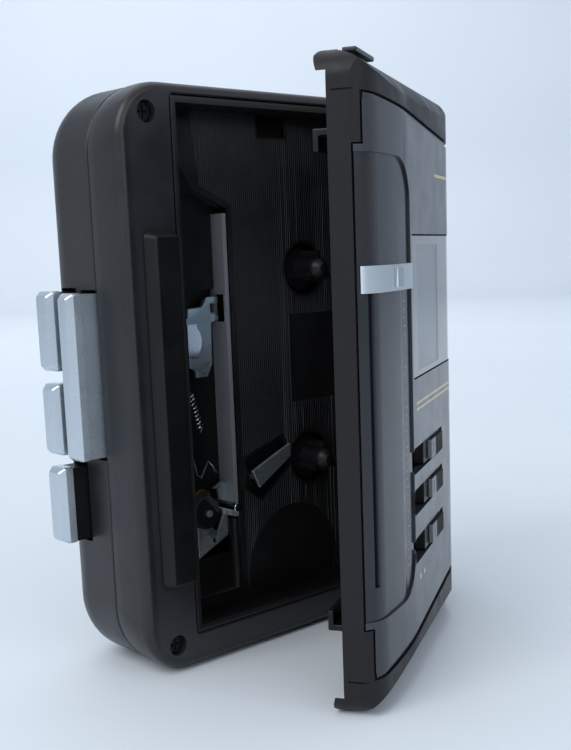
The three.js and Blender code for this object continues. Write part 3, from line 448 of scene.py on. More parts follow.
# ---------------------------------------------------------------- body
def side_inset(y):
    """How far the body's side lies inside its widest outline at a depth behind the rim."""
    if y < SEAM:
        share = (SEAM - GAP - y) / (SEAM - GAP)
        return RIM_INSET * (1 - math.sqrt(max(1 - share * share, 0)))
    share = max(y - (DEPTH - BACK_ROUND), 0) / BACK_ROUND
    return BACK_ROUND * (1 - math.sqrt(max(1 - share * share, 0)))


def body_ring(y, inset):
    """The body's outline at a depth; its corners are tighter at the rim than at the back."""
    radius = CORNER - (CORNER - RIM_CORNER) * max(1 - y / SEAM, 0)
    points = rounded(HALF - inset, MIDDLE_Z - inset, radius - inset, arc=14, side=12)
    return [(x, y, z) for x, z in points]


def back_rounding(start, end, inset, radius, count):
    """Rings that curve from a side at start into the back at end."""
    rings = []
    for i in range(count + 1):
        t = math.radians(90 * i / count)
        rings.append(body_ring(end - radius + radius * math.sin(t), inset + radius * (1 - math.cos(t))))
    return [body_ring(start, inset)] + rings


KEYS = {
    "play_key": (44.3, 76.9, 9.8, 4.4),
    "rewind_key": (61.7, 77.3, 16.6, 5.2),
    "forward_key": (45.0, 59.2, 16.6, 5.2),
    "stop_key": (27.0, 42.5, 16.6, 5.2),
}
SCREWS = ((-38.2, 109.8), (-37.6, 6.0))
BAY = (24.6, 39.6, 5.2, 110.8)


def key_slots():
    return [block(-HALF - 5, -HALF + 10, y - RUN_GAP, y + thick + RUN_GAP, z0 - RUN_GAP, z1 + RUN_GAP)
            for z0, z1, y, thick in KEYS.values()]


def make_rear_cover():
    front = SEAM + GAP / 2
    outer = back_rounding(front + 0.25, DEPTH, 0, BACK_ROUND, 14)
    inner = back_rounding(front, DEPTH - WALL, WALL, BACK_ROUND - WALL, 8)
    lip = [body_ring(front, 0.25)]
    cover = loft(list(reversed(inner)) + lip + outer)
    left, right, bottom, top = BAY
    rib = 1.2
    back = DEPTH - WALL + 0.4
    ribs = [
        block(left - rib, left, 10.2, back, bottom - rib, top + rib),
        block(left - rib, right + rib, 10.2, back, bottom - rib, bottom),
        block(left - rib, right + rib, 10.2, back, top, top + rib),
    ]
    hull = loft(back_rounding(0, DEPTH - 0.8, 0.8, BACK_ROUND - 0.8, 8))
    walls = keep(add(*ribs), hull)
    cover = add(cover, walls)
    cover = cut(
        cover, *key_slots(),
        block(left - 1.1, right + 0.8, DEPTH - WALL - 3, DEPTH + 1, bottom - 0.7, top + 0.7),
        rod("y", 12, 108.9, [(16.2, 8.8), (20.8, 8.8)], 64),
        rod("z", -12, 18.2, [(HEIGHT - 6, 3.4), (HEIGHT + 2, 3.4)], 40),
    )
    return piece(cover, "rear_cover_shell", "case", "shell_plastic", SHELL, ["rear_cover"], width=0.22)


def make_front_frame():
    left, right, bottom, top = WELL
    half_w, half_h = (right - left) / 2, (top - bottom) / 2
    cx, cz = (left + right) / 2, (bottom + top) / 2
    back = SEAM - GAP / 2

    def well_ring(y, grow=0.0):
        points = rounded(half_w + grow, half_h + grow, 1.2, cx, cz, arc=14, side=12)
        return [(x, y, z) for x, z in points]

    fillet = 2.2
    rings = [body_ring(back, 0.25), body_ring(back - 0.25, side_inset(back - 0.25))]
    rings += [body_ring(y, side_inset(y)) for y in (8, 7, 6, 5, 4, 3, 2.2)]
    for i in range(1, 9):
        t = math.radians(90 * i / 8)
        y = fillet * (1 - math.sin(t))
        rings.append(body_ring(y, side_inset(fillet) + 0.8 * fillet * (1 - math.cos(t))))
    rings += [well_ring(0, 0.25), well_ring(0.25), well_ring(2)]
    rings += [body_ring(2, RIM_INSET + WALL), body_ring(back, RIM_INSET + WALL)]
    shell = loft(rings, closed=True)
    ledge_x = HINGE_X - 2.4
    blocks = [block(ledge_x + 0.1, 44.4, 1.9, 6.6, z, z + 10) for z in (5, HEIGHT - 15)]
    bosses = [rod("y", x, z, [(0.6, 2.8), (back, 2.8)], 28) for x, z in SCREWS]
    ledge = block(WELL[1] + 0.6, 44.4, 1.9, 3.6, 4, HEIGHT - 4)
    shell = add(shell, *blocks, *bosses, ledge)
    notches = [block(HINGE_X - 2.7, HINGE_X + 3.4, -1, 5.7, z - GAP, z + 4 + GAP)
               for z in (8, HEIGHT - 12)]
    shell = cut(
        shell, *key_slots(), *notches,
        block(ledge_x, HALF + 5, -1, 2, 3, HEIGHT - 3),
        *[rod("z", HINGE_X, HINGE_Y, [(z, 1.05), (z + 8.8, 1.05)], 24) for z in (5.6, HEIGHT - 14.4)],
        *[rod("y", x, z, [(-1, 2.1), (2.6, 2.1)], 32) for x, z in SCREWS],
        *[rod("y", x, z, [(2, 1.2), (12, 1.2)], 24) for x, z in SCREWS],
    )
    return piece(shell, "front_frame_shell", "case", "shell_plastic", SHELL, ["front_frame"], width=0.18)


def make_key(name):
    """A key cap with a bevelled crown on a dark stem."""
    z0, z1, y0, thick = KEYS[name]
    y1 = y0 + thick
    low, high = node_box(name)
    outer, inside = low.x, high.x
    crown = 1.2
    base = outer + 3
    stem_z0, stem_z1 = z0 + GAP, z1 - GAP

    def ring(x, shrink):
        points = rounded((z1 - z0) / 2 - shrink, thick / 2 - shrink, 0.6, (z0 + z1) / 2, (y0 + y1) / 2, 4)
        return [(x, y, z) for z, y in points]

    cap = loft([ring(outer, crown * 0.85), ring(outer + 0.12, crown * 0.7), ring(outer + crown, 0.08),
                ring(outer + crown + 0.25, 0), ring(base, 0)])
    stem = block(base - 0.2, inside, y0 + 0.1, y1 - 0.1, stem_z0, stem_z1)
    flange_x = -HALF + WALL + 1
    flange = block(flange_x, flange_x + 1.2, y0, y1, z0 - 0.8, z1 + 0.8)
    key = add(cap, stem, flange)
    silver_end = inside if name == "play_key" else base + 0.3
    return piece(key, name + "_cap", name, "silver_plastic", [SILVER, INNER_BLACK_AND_PAINTED_SHADE], [name], width=0.14,
                 zones=lambda x, y, z: 0 if x < silver_end else 1)


def make_key_cover():
    """The raised bar over the key rods, with sloped sides and a rounded top."""
    half_h = 35.0
    cx, cz = sum(BAR_X) / 2, 53.0
    half_w = (BAR_X[1] - BAR_X[0]) / 2 + 1.2
    rings = [[(x, y, z) for x, z in rounded(half_w - s, half_h - s, 1.6 - s, cx, cz, 8, 8)]
             for y, s in ((-GAP, 0), (-2.3, 0.85), (-2.6, 1.0), (-2.76, 1.2), (-2.8, 1.45))]
    bar = loft(rings)
    return piece(bar, "key_mechanism_cover_bar", "case", "inner_plastic", INNER_BLACK_AND_PAINTED_SHADE,
                 ["key_mechanism_cover"], width=0.0)


# ---------------------------------------------------------------- deck
RIB_PITCH = 0.58
RIB_HEIGHT = 0.22


def rib_field():
    """A corrugated sheet of fine upright ribs, trimmed to the ribbed part of the deck."""
    x0, x1, z0, z1 = -22.0, 36.9, 8.9, 111.8
    top = []
    count = int((x1 - x0) / RIB_PITCH)
    for i in range(count):
        x = x0 + i * RIB_PITCH
        for share, height in ((0.0, 0), (0.22, RIB_HEIGHT), (0.5, RIB_HEIGHT), (0.72, 0)):
            top.append((x + share * RIB_PITCH, DECK - height))
    bottom = [(top[-1][0], DECK + 0.3), (top[0][0], DECK + 0.3)]
    outline = top + bottom
    sheet = loft([[(x, y, z) for x, y in outline] for z in (z0, z1)])
    area = [(-11.2, z0), (x1, z0), (x1, z1), (-21.3, z1), (-19.6, 97.0), (-11.2, 93.2)]
    sheet = keep(sheet, slab(area, DECK - 1, DECK + 2))
    holes = [rod("y", SPINDLE_X, z, [(DECK - 1, 6.3), (DECK + 2, 6.3)], 48) for z in SPINDLE_ZS]
    return cut(
        sheet, *holes,
        block(4.3, x1 + 1, DECK - 1, DECK + 2, 49.9, 69.5),
        block(-3.6, 5.4, DECK - 1, DECK + 2, 106.8, z1 + 1),
        slab([(-11, 32.6), (-6, 28.8), (3.8, 36.3), (1.4, 43.4), (-11, 39.6)], DECK - 1, DECK + 2),
        rod("y", ARC_X, ARC_Z, [(DECK - 1, ARC_RADIUS), (DECK + 2, ARC_RADIUS)], 72),
    )


def deck_extra(obj):
    outer, inner = ARC_RADIUS - 0.2, ARC_RADIUS - 0.75
    ring = rod("y", ARC_X, ARC_Z, [(DECK - 0.24, outer), (DECK + 0.2, outer)], 72)
    ring = cut(ring, rod("y", ARC_X, ARC_Z, [(DECK - 1, inner), (DECK + 1, inner)], 72))
    ring = keep(ring, block(-11, 36.9, 0, 12, 8.7, 60))
    collars = []
    for z in SPINDLE_ZS:
        collar = rod("y", SPINDLE_X, z, [(DECK - 0.2, 6.5), (DECK + 0.6, 6.5)], 48)
        collars.append(cut(collar, rod("y", SPINDLE_X, z, [(DECK - 1, 5.75), (DECK + 2, 5.75)], 48)))
    return add(obj, rib_field(), ring, *collars)


def make_deck():
    refined("deck_plate", [INNER_BLACK_AND_PAINTED_SHADE, RIBBED], 0.0, more=deck_extra,
            zones=lambda x, y, z: 1 if y < DECK + 0.05 and -22 < x < 37 and 8.8 < z < 112 else 0)


# ---------------------------------------------------------------- mechanism
def coil(start, end, turns, radius, lead):
    """Points of a coil spring whose ends run out straight by lead."""
    start, end = Vector(start), Vector(end)
    along = (end - start).normalized()
    side = along.cross(Vector((0, 1, 0))).normalized()
    up = along.cross(side)
    points = [start - along * lead]
    steps = turns * 12
    for i in range(steps + 1):
        t = 2 * math.pi * turns * i / steps
        centre = start.lerp(end, i / steps)
        points.append(centre + radius * (side * math.cos(t) + up * math.sin(t)))
    points.append(end + along * lead)
    return points


def tube(points, radius, count=8):
    """A closed round tube through points, with frames carried along without twist."""
    points = [Vector(p) for p in points]
    normal = None
    rings = []
    for i, point in enumerate(points):
        along = (points[min(i + 1, len(points) - 1)] - points[max(i - 1, 0)]).normalized()
        if normal is None:
            normal = along.orthogonal().normalized()
        normal = (normal - along * normal.dot(along)).normalized()
        side = along.cross(normal)
        angles = [2 * math.pi * k / count for k in range(count)]
        rings.append([point + radius * (normal * math.cos(t) + side * math.sin(t)) for t in angles])
    return loft(rings)


def make_springs():
    spring = tube(coil((-23.9, 9.4, 54.6), (-21.9, 9.2, 47.2), 9, 0.75, 0.8), 0.16)
    piece(spring, "head_return_spring_coil", "case", "steel", POLISHED, ["head_return_spring"], width=0)
    path = [(-24.6, 10.3, 44.6), (-23.4, 10.4, 41.5), (-22.2, 10.5, 37.2), (-21.2, 10.4, 36.4),
            (-20.4, 10.3, 37.8), (-19.2, 10.3, 39.8), (-18.0, 10.3, 38.6), (-17.0, 10.4, 36.9)]
    piece(tube(path, 0.24), "pinch_spring_wire", "case", "steel", POLISHED, ["pinch_spring"], width=0)


def make_mechanism():
    plain = {
        "capstan_plate": (STEEL, 0.1), "head_bracket": (STEEL, 0.12),
        "pinch_arm": (STEEL, 0.12), "auto_stop_lever": (STEEL, 0.12), "capstan_bearing": (BRASS, 0.1),
        "flywheel": (BRASS, 0.2), "capstan_gear": (NYLON, 0.03), "idler_gear": (NYLON, 0.03),
        "takeup_gear": (NYLON, 0.03), "motor": (STEEL, 0.3), "motor_pulley": (BRASS, 0.15),
        "drive_belt": (RUBBER, 0.1), "main_board": (BOARD, 0.1), "headphone_jack": (INNER_BLACK_AND_PAINTED_SHADE, 0.25),
        "battery_contact_plate": (POLISHED, 0.1), "battery_spring_contact": (POLISHED, 0.1),
        "key_spring_comb": (STEEL, 0.1), "hinge_pin_lower": (POLISHED, 0.2),
        "hinge_pin_upper": (POLISHED, 0.2), "case_screw_1": (BLACK_STEEL_AND_PAINTED_SHADE, 0.08),
        "case_screw_2": (BLACK_STEEL_AND_PAINTED_SHADE, 0.08),
        # The spindles take the near-black inner finish as painted shade from the lid.
        "takeup_spindle": (INNER_BLACK_AND_PAINTED_SHADE, 0.14), "supply_spindle": (INNER_BLACK_AND_PAINTED_SHADE, 0.14),
        "band_switch_body": (STEEL, 0.2), "tone_switch_body": (STEEL, 0.2),
        "mode_switch_body": (STEEL, 0.2), "tuner_board": (BOARD, 0.08), "cassette_spring": (STEEL, 0.08),
        "cassette_guide_lower": (INNER_BLACK_AND_PAINTED_SHADE, 0.25), "cassette_guide_upper": (INNER_BLACK_AND_PAINTED_SHADE, 0.25),
        "lid_tab": (SHELL, 0.25), "capstan_shaft": (POLISHED, 0.2),
    }
    for node, (finish, width) in plain.items():
        refined(node, finish, width)
    # Painted shade: the chassis takes the near-black steel for its shadow inside the body; only the flange
    # strip, which catches the light, keeps the grey plate colour.
    refined("mechanism_chassis", [BLACK_STEEL_AND_PAINTED_SHADE, GREY_PLATE], 0.1,
            zones=lambda x, y, z: int(FLANGE_X - STRIP_WIDTH < x < FLANGE_X and z > STRIP_BOTTOM))
    make_springs()


def make_head():
    """The head: a dished metal face with its gap line, on a shield can."""
    low, high = node_box("tape_head")
    front = high.x
    y0, y1 = low.y - RIM_Y, high.y - RIM_Y
    z = (low.z + high.z) / 2
    can = block(low.x, front - 1.4, y0, y1, low.z, high.z)
    face = rod("y", front - 4.2, z, [(y0 - 0.01, 3.9), (y0 + 0.3, 4.2), (y1 - 0.1, 4.2)], 64)
    face = keep(face, block(front - 3.6, front + 1, -2, 20, z - 2.7, z + 2.7))
    head = cut(add(can, face), block(front - 0.12, front + 1, y0 + 1.2, y1 - 1.4, z - 0.12, z + 0.12))
    piece(head, "tape_head_can", "head_slide", "steel", POLISHED, ["tape_head"], width=0.25)


def make_roller():
    low, high = node_box("pinch_roller")
    x, z = (low.x + high.x) / 2, (low.z + high.z) / 2
    y0, y1 = low.y - RIM_Y, high.y - RIM_Y
    radius = (high.x - low.x) / 2
    tyre = rod("y", x, z, [(y0 + 0.4, radius - 0.15), (y0 + 0.55, radius), (y1 - 0.55, radius),
                           (y1 - 0.4, radius - 0.15)], 56)
    hub = rod("y", x, z, [(y0, 1.7), (y1, 1.7)], 40)
    roller = cut(add(tyre, hub), rod("y", x, z, [(y0 - 1, 0.74), (y1 + 1, 0.74)], 32))
    piece(roller, "pinch_roller_tyre", "pinch_roller", "rubber", [RUBBER, BLACK_STEEL_AND_PAINTED_SHADE], ["pinch_roller"],
          width=0.1, zones=lambda a, b, c: 1 if math.hypot(a - x, c - z) < 1.75 else 0)


def make_volume_wheel():
    """A thin wheel with a knurled rim and shallow dished faces."""
    low = node_box("volume_wheel")[0]
    x, z, radius = 12.0, 108.9, 8.0
    y0, y1 = 17.0, 20.0
    teeth = 64
    rim = []
    for i in range(teeth):
        for share, r in ((0.0, radius - 0.28), (0.25, radius), (0.6, radius), (0.85, radius - 0.28)):
            t = 2 * math.pi * (i + share) / teeth
            rim.append((x + r * math.cos(t), z + r * math.sin(t)))
    wheel = slab(rim, y0, y1)
    wheel = cut(wheel, rod("y", x, z, [(y0 - 1, 6.2), (y0 + 0.5, 6.2)], 56),
                rod("y", x, z, [(y1 - 0.5, 6.2), (y1 + 1, 6.2)], 56))
    wheel = add(wheel, rod("y", x, z, [(low.y - RIM_Y, 1.6), (y0 + 1, 1.6)], 28))
    piece(wheel, "volume_wheel_knurled", "volume", "inner_plastic", INNER_BLACK_AND_PAINTED_SHADE, ["volume_wheel"], width=0.06)


def make_battery_door():
    """The door follows the back's rounding; six grip grooves mark where a thumb pushes."""
    left, right, bottom, top = BAY
    hull = loft(back_rounding(10, DEPTH, 0, BACK_ROUND, 14))
    door = keep(hull, block(left - 0.3, right + 0.5, DEPTH - 1.7, DEPTH + 1, bottom - 0.4, top + 0.4))
    grooves = [block(30, 37, DEPTH - 0.45, DEPTH + 1, 88 + 2 * i, 88.9 + 2 * i) for i in range(6)]
    door = cut(door, *grooves)
    door = add(door, rod("z", left + 0.4, DEPTH - 0.9, [(bottom - 1.9, 0.6), (top + 1.9, 0.6)], 20))
    piece(door, "battery_door_panel", "battery_door", "shell_plastic", SHELL, ["battery_door"], width=0.2)


# ---------------------------------------------------------------- lid
SLOPE_START, SLOPE_START_DEPTH, SLOPE_END = -38.5, 7.8, -21.0
FALL_START, FALL_RADIUS, FALL_ANGLE = 15.0, 22.0, math.radians(20)


def curve_points(a, control, b, count):
    """A quadratic curve from a to b, without its first point."""
    points = []
    for i in range(1, count + 1):
        t = i / count
        points.append(tuple((1 - t) ** 2 * p + 2 * t * (1 - t) * q + t * t * r
                            for p, q, r in zip(a, control, b)))
    return points


def lid_section():
    """The lid's outside seen from above, in x and y: sloped, flat, then falling to the hinge."""
    points = [(-LID_HALF - 1, 20), (-LID_HALF - 1, -BAND + 0.6), (-LID_HALF, -BAND)]
    points += curve_points((-LID_HALF, -BAND), (-LID_HALF + 1.6, -SLOPE_START_DEPTH + 0.6),
                           (SLOPE_START, -SLOPE_START_DEPTH), 14)
    points += curve_points((SLOPE_START, -SLOPE_START_DEPTH), (SLOPE_END - 7, -LID_DEPTH),
                           (SLOPE_END, -LID_DEPTH), 14)
    for i in range(15):
        t = FALL_ANGLE * i / 14
        points.append((FALL_START + FALL_RADIUS * math.sin(t),
                       -LID_DEPTH + FALL_RADIUS * (1 - math.cos(t))))
    end_x, end_y = points[-1]
    points.append((LID_HALF + 1, end_y + (LID_HALF + 1 - end_x) * math.tan(FALL_ANGLE)))
    points.append((LID_HALF + 1, 20))
    return points


def lid_prism(sunk=0.0):
    return loft([[(x, y + sunk, z) for x, y in lid_section()] for z in (-10, HEIGHT + 10)])


def end_prism(clear=0.0):
    """Both ends lean in towards the face along a curve; clear pulls them in by a wall."""
    front = LID_DEPTH - clear
    knee = -(front - 2.9)
    low = [(20, clear), (0, clear)]
    low += curve_points((0, clear), (knee, clear + 1), (-front, clear + LID_END_INSET), 18)
    outline = low + [(y, HEIGHT - z) for y, z in reversed(low)]
    return loft([[(x, y, z) for y, z in outline] for x in (-LID_HALF - 20, LID_HALF + 20)])


def lid_outline(shrink=0.0):
    return rounded(LID_HALF - shrink, MIDDLE_Z - shrink, LID_CORNER - shrink, arc=16)


def lid_blank():
    outer = keep(slab(lid_outline(), -LID_DEPTH, -GAP), lid_prism(), end_prism())
    cavity = slab(lid_outline(LID_WALL), -LID_DEPTH + LID_WALL, 1)
    return cut(outer, keep(cavity, lid_prism(LID_WALL), end_prism(LID_WALL)))


def panel_zone(clear, front, back):
    """The front panel's region between the slanted edges of the end caps."""
    low, far = CAP_RISE + clear, CAP_RISE + CAP_SLANT + clear
    side = LID_HALF + 1
    return slab([(-side, low), (side, far), (side, HEIGHT - far), (-side, HEIGHT - low)], front, back)


JOG = (16.5, 100.5)
JOG_DEPTH = 1.4


def make_corner_skirts():
    """The free corners sweep past the rim, outside the body's rounder corners."""
    skirt = slab(lid_outline(), -1.2, SKIRT_TIP)
    body = rounded(HALF + SKIRT_CLEAR, MIDDLE_Z + SKIRT_CLEAR, RIM_CORNER + SKIRT_CLEAR, arc=14)
    skirt = cut(skirt, slab(body, -GAP, 9))
    corners = []
    for turned in (False, True):
        sweep = [(-1.5, 0), (0.9, 0), (1.7, 0.4), (SKIRT_TIP, 1.2), (SKIRT_TIP - 0.2, 2.2), (1.5, 3.5),
                 (0.9, 4.6), (0.2, 6.2), (-0.4, 8.5), (-1.5, 12)]
        if turned:
            sweep = [(y, HEIGHT - z) for y, z in reversed(sweep)]
        corners.append(loft([[(x, y, z) for y, z in sweep] for x in (-LID_HALF - 1, SKIRT_RIGHT)]))
    return keep(skirt, add(*corners))


def make_lid_shell():
    shell = lid_blank()
    middle = block(-LID_HALF - 1, LID_HALF + 1, -LID_DEPTH - 2, 0, *JOG)
    ends = panel_zone(0, -LID_DEPTH - 1, -BAND - JOG_DEPTH)
    zone = add(keep(panel_zone(0, -LID_DEPTH - 1, -BAND), middle), ends)
    knuckles = []
    for z in (8.0, HEIGHT - 12):
        barrel = rod("z", HINGE_X, HINGE_Y, [(z, 2.2), (z + 4, 2.2)], 40)
        arm = block(HINGE_X - 2, HINGE_X + 2, -0.6, HINGE_Y, z, z + 4)
        knuckles.append(cut(add(barrel, arm), rod("z", HINGE_X, HINGE_Y, [(z - 1, 1.1), (z + 5, 1.1)], 32)))
    shell = add(cut(shell, zone), *knuckles)
    grooves = []
    for z in (CAP_RISE - 0.15, HEIGHT - CAP_RISE - 0.15):
        line = block(-LID_HALF - 1, -LID_HALF + 0.35, -BAND - 2, 1, z, z + 0.3)
        grooves.append(line)
    shell = add(cut(shell, *grooves), make_corner_skirts())
    lid_piece(shell, "lid_shell_band", "shell_plastic", BANDED, ["lid_shell"], width=0.22)


WINDOW = (-21.0, 21.0, 58.5, 85.5)
SWITCH_ZS = {"band_switch": 43.0, "tone_switch": 35.0, "mode_switch": 25.5}
SLOT_X = (-22.0, 7.0)
NECK_X = -41.2
TROUGH_RIGHT = -22.0
TROUGH_DEPTH = 0.45
WINDOW_Z = (WINDOW[2] + WINDOW[3]) / 2


def trough_cutter(sink, grow=0.0):
    right = TROUGH_RIGHT + grow
    points = rounded(30, 40.5 + grow, 8 + grow, right - 30, 58.5, 14)
    return cut(slab(points, -LID_DEPTH - 2, 0), lid_prism(sink))


def make_front_panel():
    zone = panel_zone(GAP, -LID_DEPTH - 1, -BAND - GAP)
    middle = block(-LID_HALF - 1, LID_HALF + 1, -LID_DEPTH - 2, 0, JOG[0] + GAP, JOG[1] - GAP)
    ends = panel_zone(GAP, -LID_DEPTH - 1, -BAND - JOG_DEPTH - GAP)
    panel = keep(lid_blank(), add(keep(zone, middle), ends))
    step = cut(panel_zone(-3, -LID_DEPTH - 3, 0), panel_zone(1.3, -LID_DEPTH - 4, 1),
               lid_prism(TROUGH_DEPTH))
    x0, x1, z0, z1 = WINDOW
    slots = [slab(rounded(14.5, 2.5, 0.6, sum(SLOT_X) / 2, z, 5), -LID_DEPTH - 2, -5)
             for z in SWITCH_ZS.values()]
    window = slab(rounded((x1 - x0) / 2, (z1 - z0) / 2, 0.8, 0, WINDOW_Z, 5), -LID_DEPTH - 2, -5)
    slider_slot = block(NECK_X - 0.65, NECK_X + 0.65, -LID_DEPTH - 2, 0, 24, 80)
    panel = cut(panel, trough_cutter(TROUGH_DEPTH), window, *slots, slider_slot, step)
    lid_piece(panel, "front_panel_face", "panel_gloss", [PANEL, TROUGH], ["front_panel"], width=0.16,
              zones=lambda x, y, z: 1 if x < -22.05 and 18 < z < 99 and y < -3 else 0)


def make_window():
    x0, x1, z0, z1 = WINDOW
    outline = rounded((x1 - x0) / 2 - GAP, (z1 - z0) / 2 - GAP, 0.6, 0, WINDOW_Z, 5)
    sheet = keep(slab(outline, -LID_DEPTH - 1, -5), lid_prism(0.1))
    sheet = cut(sheet, lid_prism(1.1))
    clear = (-16.0, 5.0, 59.9, 83.5)
    lid_piece(sheet, "window_lens_sheet", "window_clear", [LENS_BORDER, LENS], ["window_lens"], width=0.0,
              splits=[("x", clear[0]), ("x", clear[1]), ("z", clear[2]), ("z", clear[3])],
              zones=lambda x, y, z: int(clear[0] < x < clear[1] and clear[2] < z < clear[3]))


def make_slider():
    """The silver tuning bar: bent along the sloped side, with fine grip ribs at its middle."""
    z, half = 78.0, 2.3
    bar = block(-LID_HALF + 0.8, -22.6, -LID_DEPTH - 1, -BAND - 0.6, z - half, z + half)
    bar = cut(keep(bar, lid_prism(-0.4)), lid_prism(0.3))
    grooves = []
    for i in range(5):
        x = -33.6 + 1.1 * i
        groove = block(x, x + 0.5, -LID_DEPTH - 2, 0, z - 1.7, z + 1.7)
        grooves.append(cut(groove, lid_prism(-0.08)))
    bar = cut(bar, *grooves)
    neck = block(NECK_X - 0.5, NECK_X + 0.5, -6.6, -3.4, z - 1.6, z + 1.6)
    lid_piece(add(bar, neck), "tuning_slider_bar", "silver_plastic", BRIGHT, ["tuning_slider"],
              body="tuning_slider", width=0.16)


def make_switches():
    for name, z in SWITCH_ZS.items():
        x0 = SLOT_X[0] + 10.5
        plate = block(x0, x0 + 17, -LID_DEPTH + 0.3, -7.1, z - 2.2, z + 2.2)
        thumb = block(x0 + 4, x0 + 16.4, -LID_DEPTH - 0.6, -LID_DEPTH + 0.4, z - 1.9, z + 1.9)
        grooves = [block(x0 + 8.6 + 1.2 * i, x0 + 9.2 + 1.2 * i, -LID_DEPTH - 2, -LID_DEPTH - 0.2,
                         z - 2, z + 2) for i in range(6)]
        slit = block(x0 + 5.9, x0 + 6.4, -LID_DEPTH - 2, -LID_DEPTH - 0.3, z - 1.2, z + 1.2)
        knob = cut(add(plate, thumb), *grooves, slit)
        lid_piece(knob, name + "_knob_ribbed", "inner_plastic", [INNER_BLACK_AND_PAINTED_SHADE, SWITCH_GREY], [name + "_knob"],
                  body=name, width=0.14,
                  zones=lambda x, y, zz, x0=x0: int(x0 + 3.9 < x < x0 + 8.2 and y < -LID_DEPTH - 0.1))


def make_prints():
    """Generic marks only: a tuning scale of plain ticks, and plain gold lines and dots."""
    marks = []
    for i in range(34):
        z = 24 + 1.5 * i
        reach = 1.6 if i % 5 == 0 else 0.8
        marks.append(block(-26.4, -26.4 + reach, -LID_DEPTH - 1, 0, z, z + 0.18))
    ticks = cut(keep(add(*marks), lid_prism(0.41)), lid_prism(0.5))
    lid_piece(ticks, "tuning_scale_ticks", "panel_gloss", PALE_PRINT, width=0.0)
    bars = [block(-19, 19, -LID_DEPTH - 1, 0, 53.6, 54.0), block(-19, 19, -LID_DEPTH - 1, 0, 52.4, 52.8),
            block(3, 20, -LID_DEPTH - 1, 0, 96.8, 97.4), block(-18.6, -17.4, -LID_DEPTH - 1, 0, 19.2, 20.2),
            block(-14.6, -13.4, -LID_DEPTH - 1, 0, 19.2, 20.2)]
    gold = cut(keep(add(*bars), lid_prism(-0.03)), lid_prism(0.06))
    lid_piece(gold, "panel_gold_lines", "panel_gloss", GOLD, width=0.0)


def make_liner():
    """Inner lining of the lid with its stiffening ribs."""
    low, high = -39.65, 26.6
    cx, half = (low + high) / 2, (high - low) / 2
    liner = slab(rounded(half, MIDDLE_Z - 6.4, 6, cx, MIDDLE_Z, 10), -4.1, -3)
    liner = cut(liner, slab(rounded(19, 11.5, 1.5, 0, WINDOW_Z, 6), -10, 0))
    frame_rib = slab(rounded(21, 13.5, 2.5, 0, WINDOW_Z, 8), -3.1, -2.5)
    frame_rib = cut(frame_rib, slab(rounded(20, 12.5, 2, 0, WINDOW_Z, 8), -10, 0))
    ribs = [block(low + 6, high - 6, -3.1, -2.55, z - 0.4, z + 0.4) for z in (22, 30, 38, 94, 102)]
    lid_piece(add(liner, frame_rib, *ribs), "lid_liner_ribbed", "inner_plastic", INNER_BLACK_AND_PAINTED_SHADE, ["lid_liner"],
              width=0.15)


# ---------------------------------------------------------------- setting
def make_camera():
    """The photo's view: from the key side, a little above, leaning slightly."""
    heading, pitch, roll = VIEW_HEADING, math.radians(9.85), math.radians(-2.19)
    place = Vector((-0.17203, -0.18945, 0.08328))
    ahead = Vector((math.cos(heading) * math.cos(pitch), math.sin(heading) * math.cos(pitch),
                    -math.sin(pitch)))
    right = Vector((math.sin(heading), -math.cos(heading), 0))
    up = right.cross(ahead)
    across = math.cos(roll) * right + math.sin(roll) * up
    upright = -math.sin(roll) * right + math.cos(roll) * up
    data = bpy.data.cameras.new("camera")
    data.lens = 54.95
    data.sensor_width = 36
    data.sensor_fit = "AUTO"
    data.shift_y = 0.1
    data.clip_start = 0.01
    camera = bpy.data.objects.new("camera", data)
    turn = Matrix((across, upright, -ahead)).transposed().to_4x4()
    camera.matrix_world = Matrix.Translation(place) @ turn
    bpy.context.scene.collection.objects.link(camera)
    bpy.context.scene.camera = camera


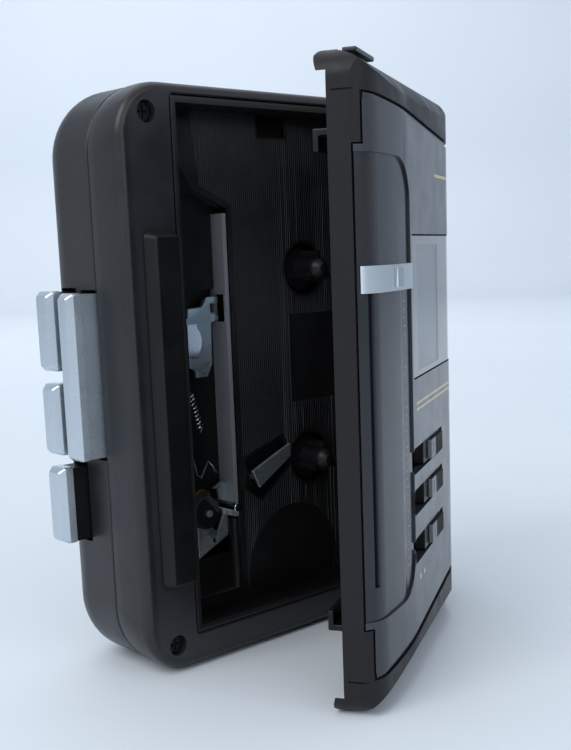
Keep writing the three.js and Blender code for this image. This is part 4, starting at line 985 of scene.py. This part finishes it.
def make_floor():
    material, nodes, links, bsdf = shader("pale_floor")
    tone = mix(nodes, links, noise(nodes, links, 6, 2), (0.7, 0.76, 0.82), (0.74, 0.8, 0.86))
    links.new(tone, bsdf.inputs["Base Color"])
    bsdf.inputs["Roughness"].default_value = 0.6
    bm = bmesh.new()
    depth, rise, reach = 1.6, 0.25, 3.0
    profile = [(-2.5, 0.0), (depth, 0.0)]
    profile += [(depth + rise * math.sin(t), rise * (1 - math.cos(t)))
                for t in [math.radians(9 * i) for i in range(1, 11)]]
    profile.append((depth + rise, 3.0))
    ahead = Vector((math.cos(VIEW_HEADING), math.sin(VIEW_HEADING), 0))
    side = Vector((math.sin(VIEW_HEADING), -math.cos(VIEW_HEADING), 0))
    rows = [[bm.verts.new(ahead * d + side * s + Vector((0, 0, h))) for s in (-reach, reach)]
            for d, h in profile]
    for low, high in zip(rows, rows[1:]):
        bm.faces.new((low[0], low[1], high[1], high[0]))
    floor = to_object(bm, "floor")
    floor.data.materials.append(material)
    for face in floor.data.polygons:
        face.use_smooth = True


def area_light(name, place, aim, size, power, colour):
    data = bpy.data.lights.new(name, "AREA")
    data.shape = "RECTANGLE"
    data.size, data.size_y = size
    data.energy = power
    data.color = colour
    light = bpy.data.objects.new(name, data)
    light.location = place
    light.rotation_euler = (Vector(aim) - Vector(place)).to_track_quat("-Z", "Y").to_euler()
    bpy.context.scene.collection.objects.link(light)


def make_lights():
    world = bpy.data.worlds.new("studio")
    world.use_nodes = True
    world.node_tree.nodes["Background"].inputs["Color"].default_value = (0.84, 0.9, 1.0, 1)
    world.node_tree.nodes["Background"].inputs["Strength"].default_value = 0.62
    bpy.context.scene.world = world
    bpy.context.scene.view_settings.view_transform = "Standard"
    centre = (0, 0, 0.06)
    area_light("key", (-0.75, -0.15, 0.75), centre, (0.7, 0.7), 5.5, (1.0, 0.99, 0.97))
    area_light("front", (-0.1, -0.9, 0.5), centre, (0.9, 0.6), 2.0, (0.94, 0.97, 1.0))
    area_light("top", (0.2, 0.3, 1.1), centre, (1.0, 1.0), 2.0, (0.95, 0.98, 1.0))
    area_light("backdrop", (0.4, 0.8, 1.1), (0.9, 1.4, 0.3), (1.2, 0.6), 7.5, (0.98, 0.99, 1.0))


# ---------------------------------------------------------------- build
make_camera()
make_floor()
make_lights()
make_rear_cover()
make_front_frame()
for key_name in KEYS:
    make_key(key_name)
make_key_cover()
make_deck()
make_mechanism()
make_head()
make_roller()
make_volume_wheel()
make_battery_door()
make_lid_shell()
make_front_panel()
make_window()
make_slider()
make_switches()
make_prints()
make_liner()
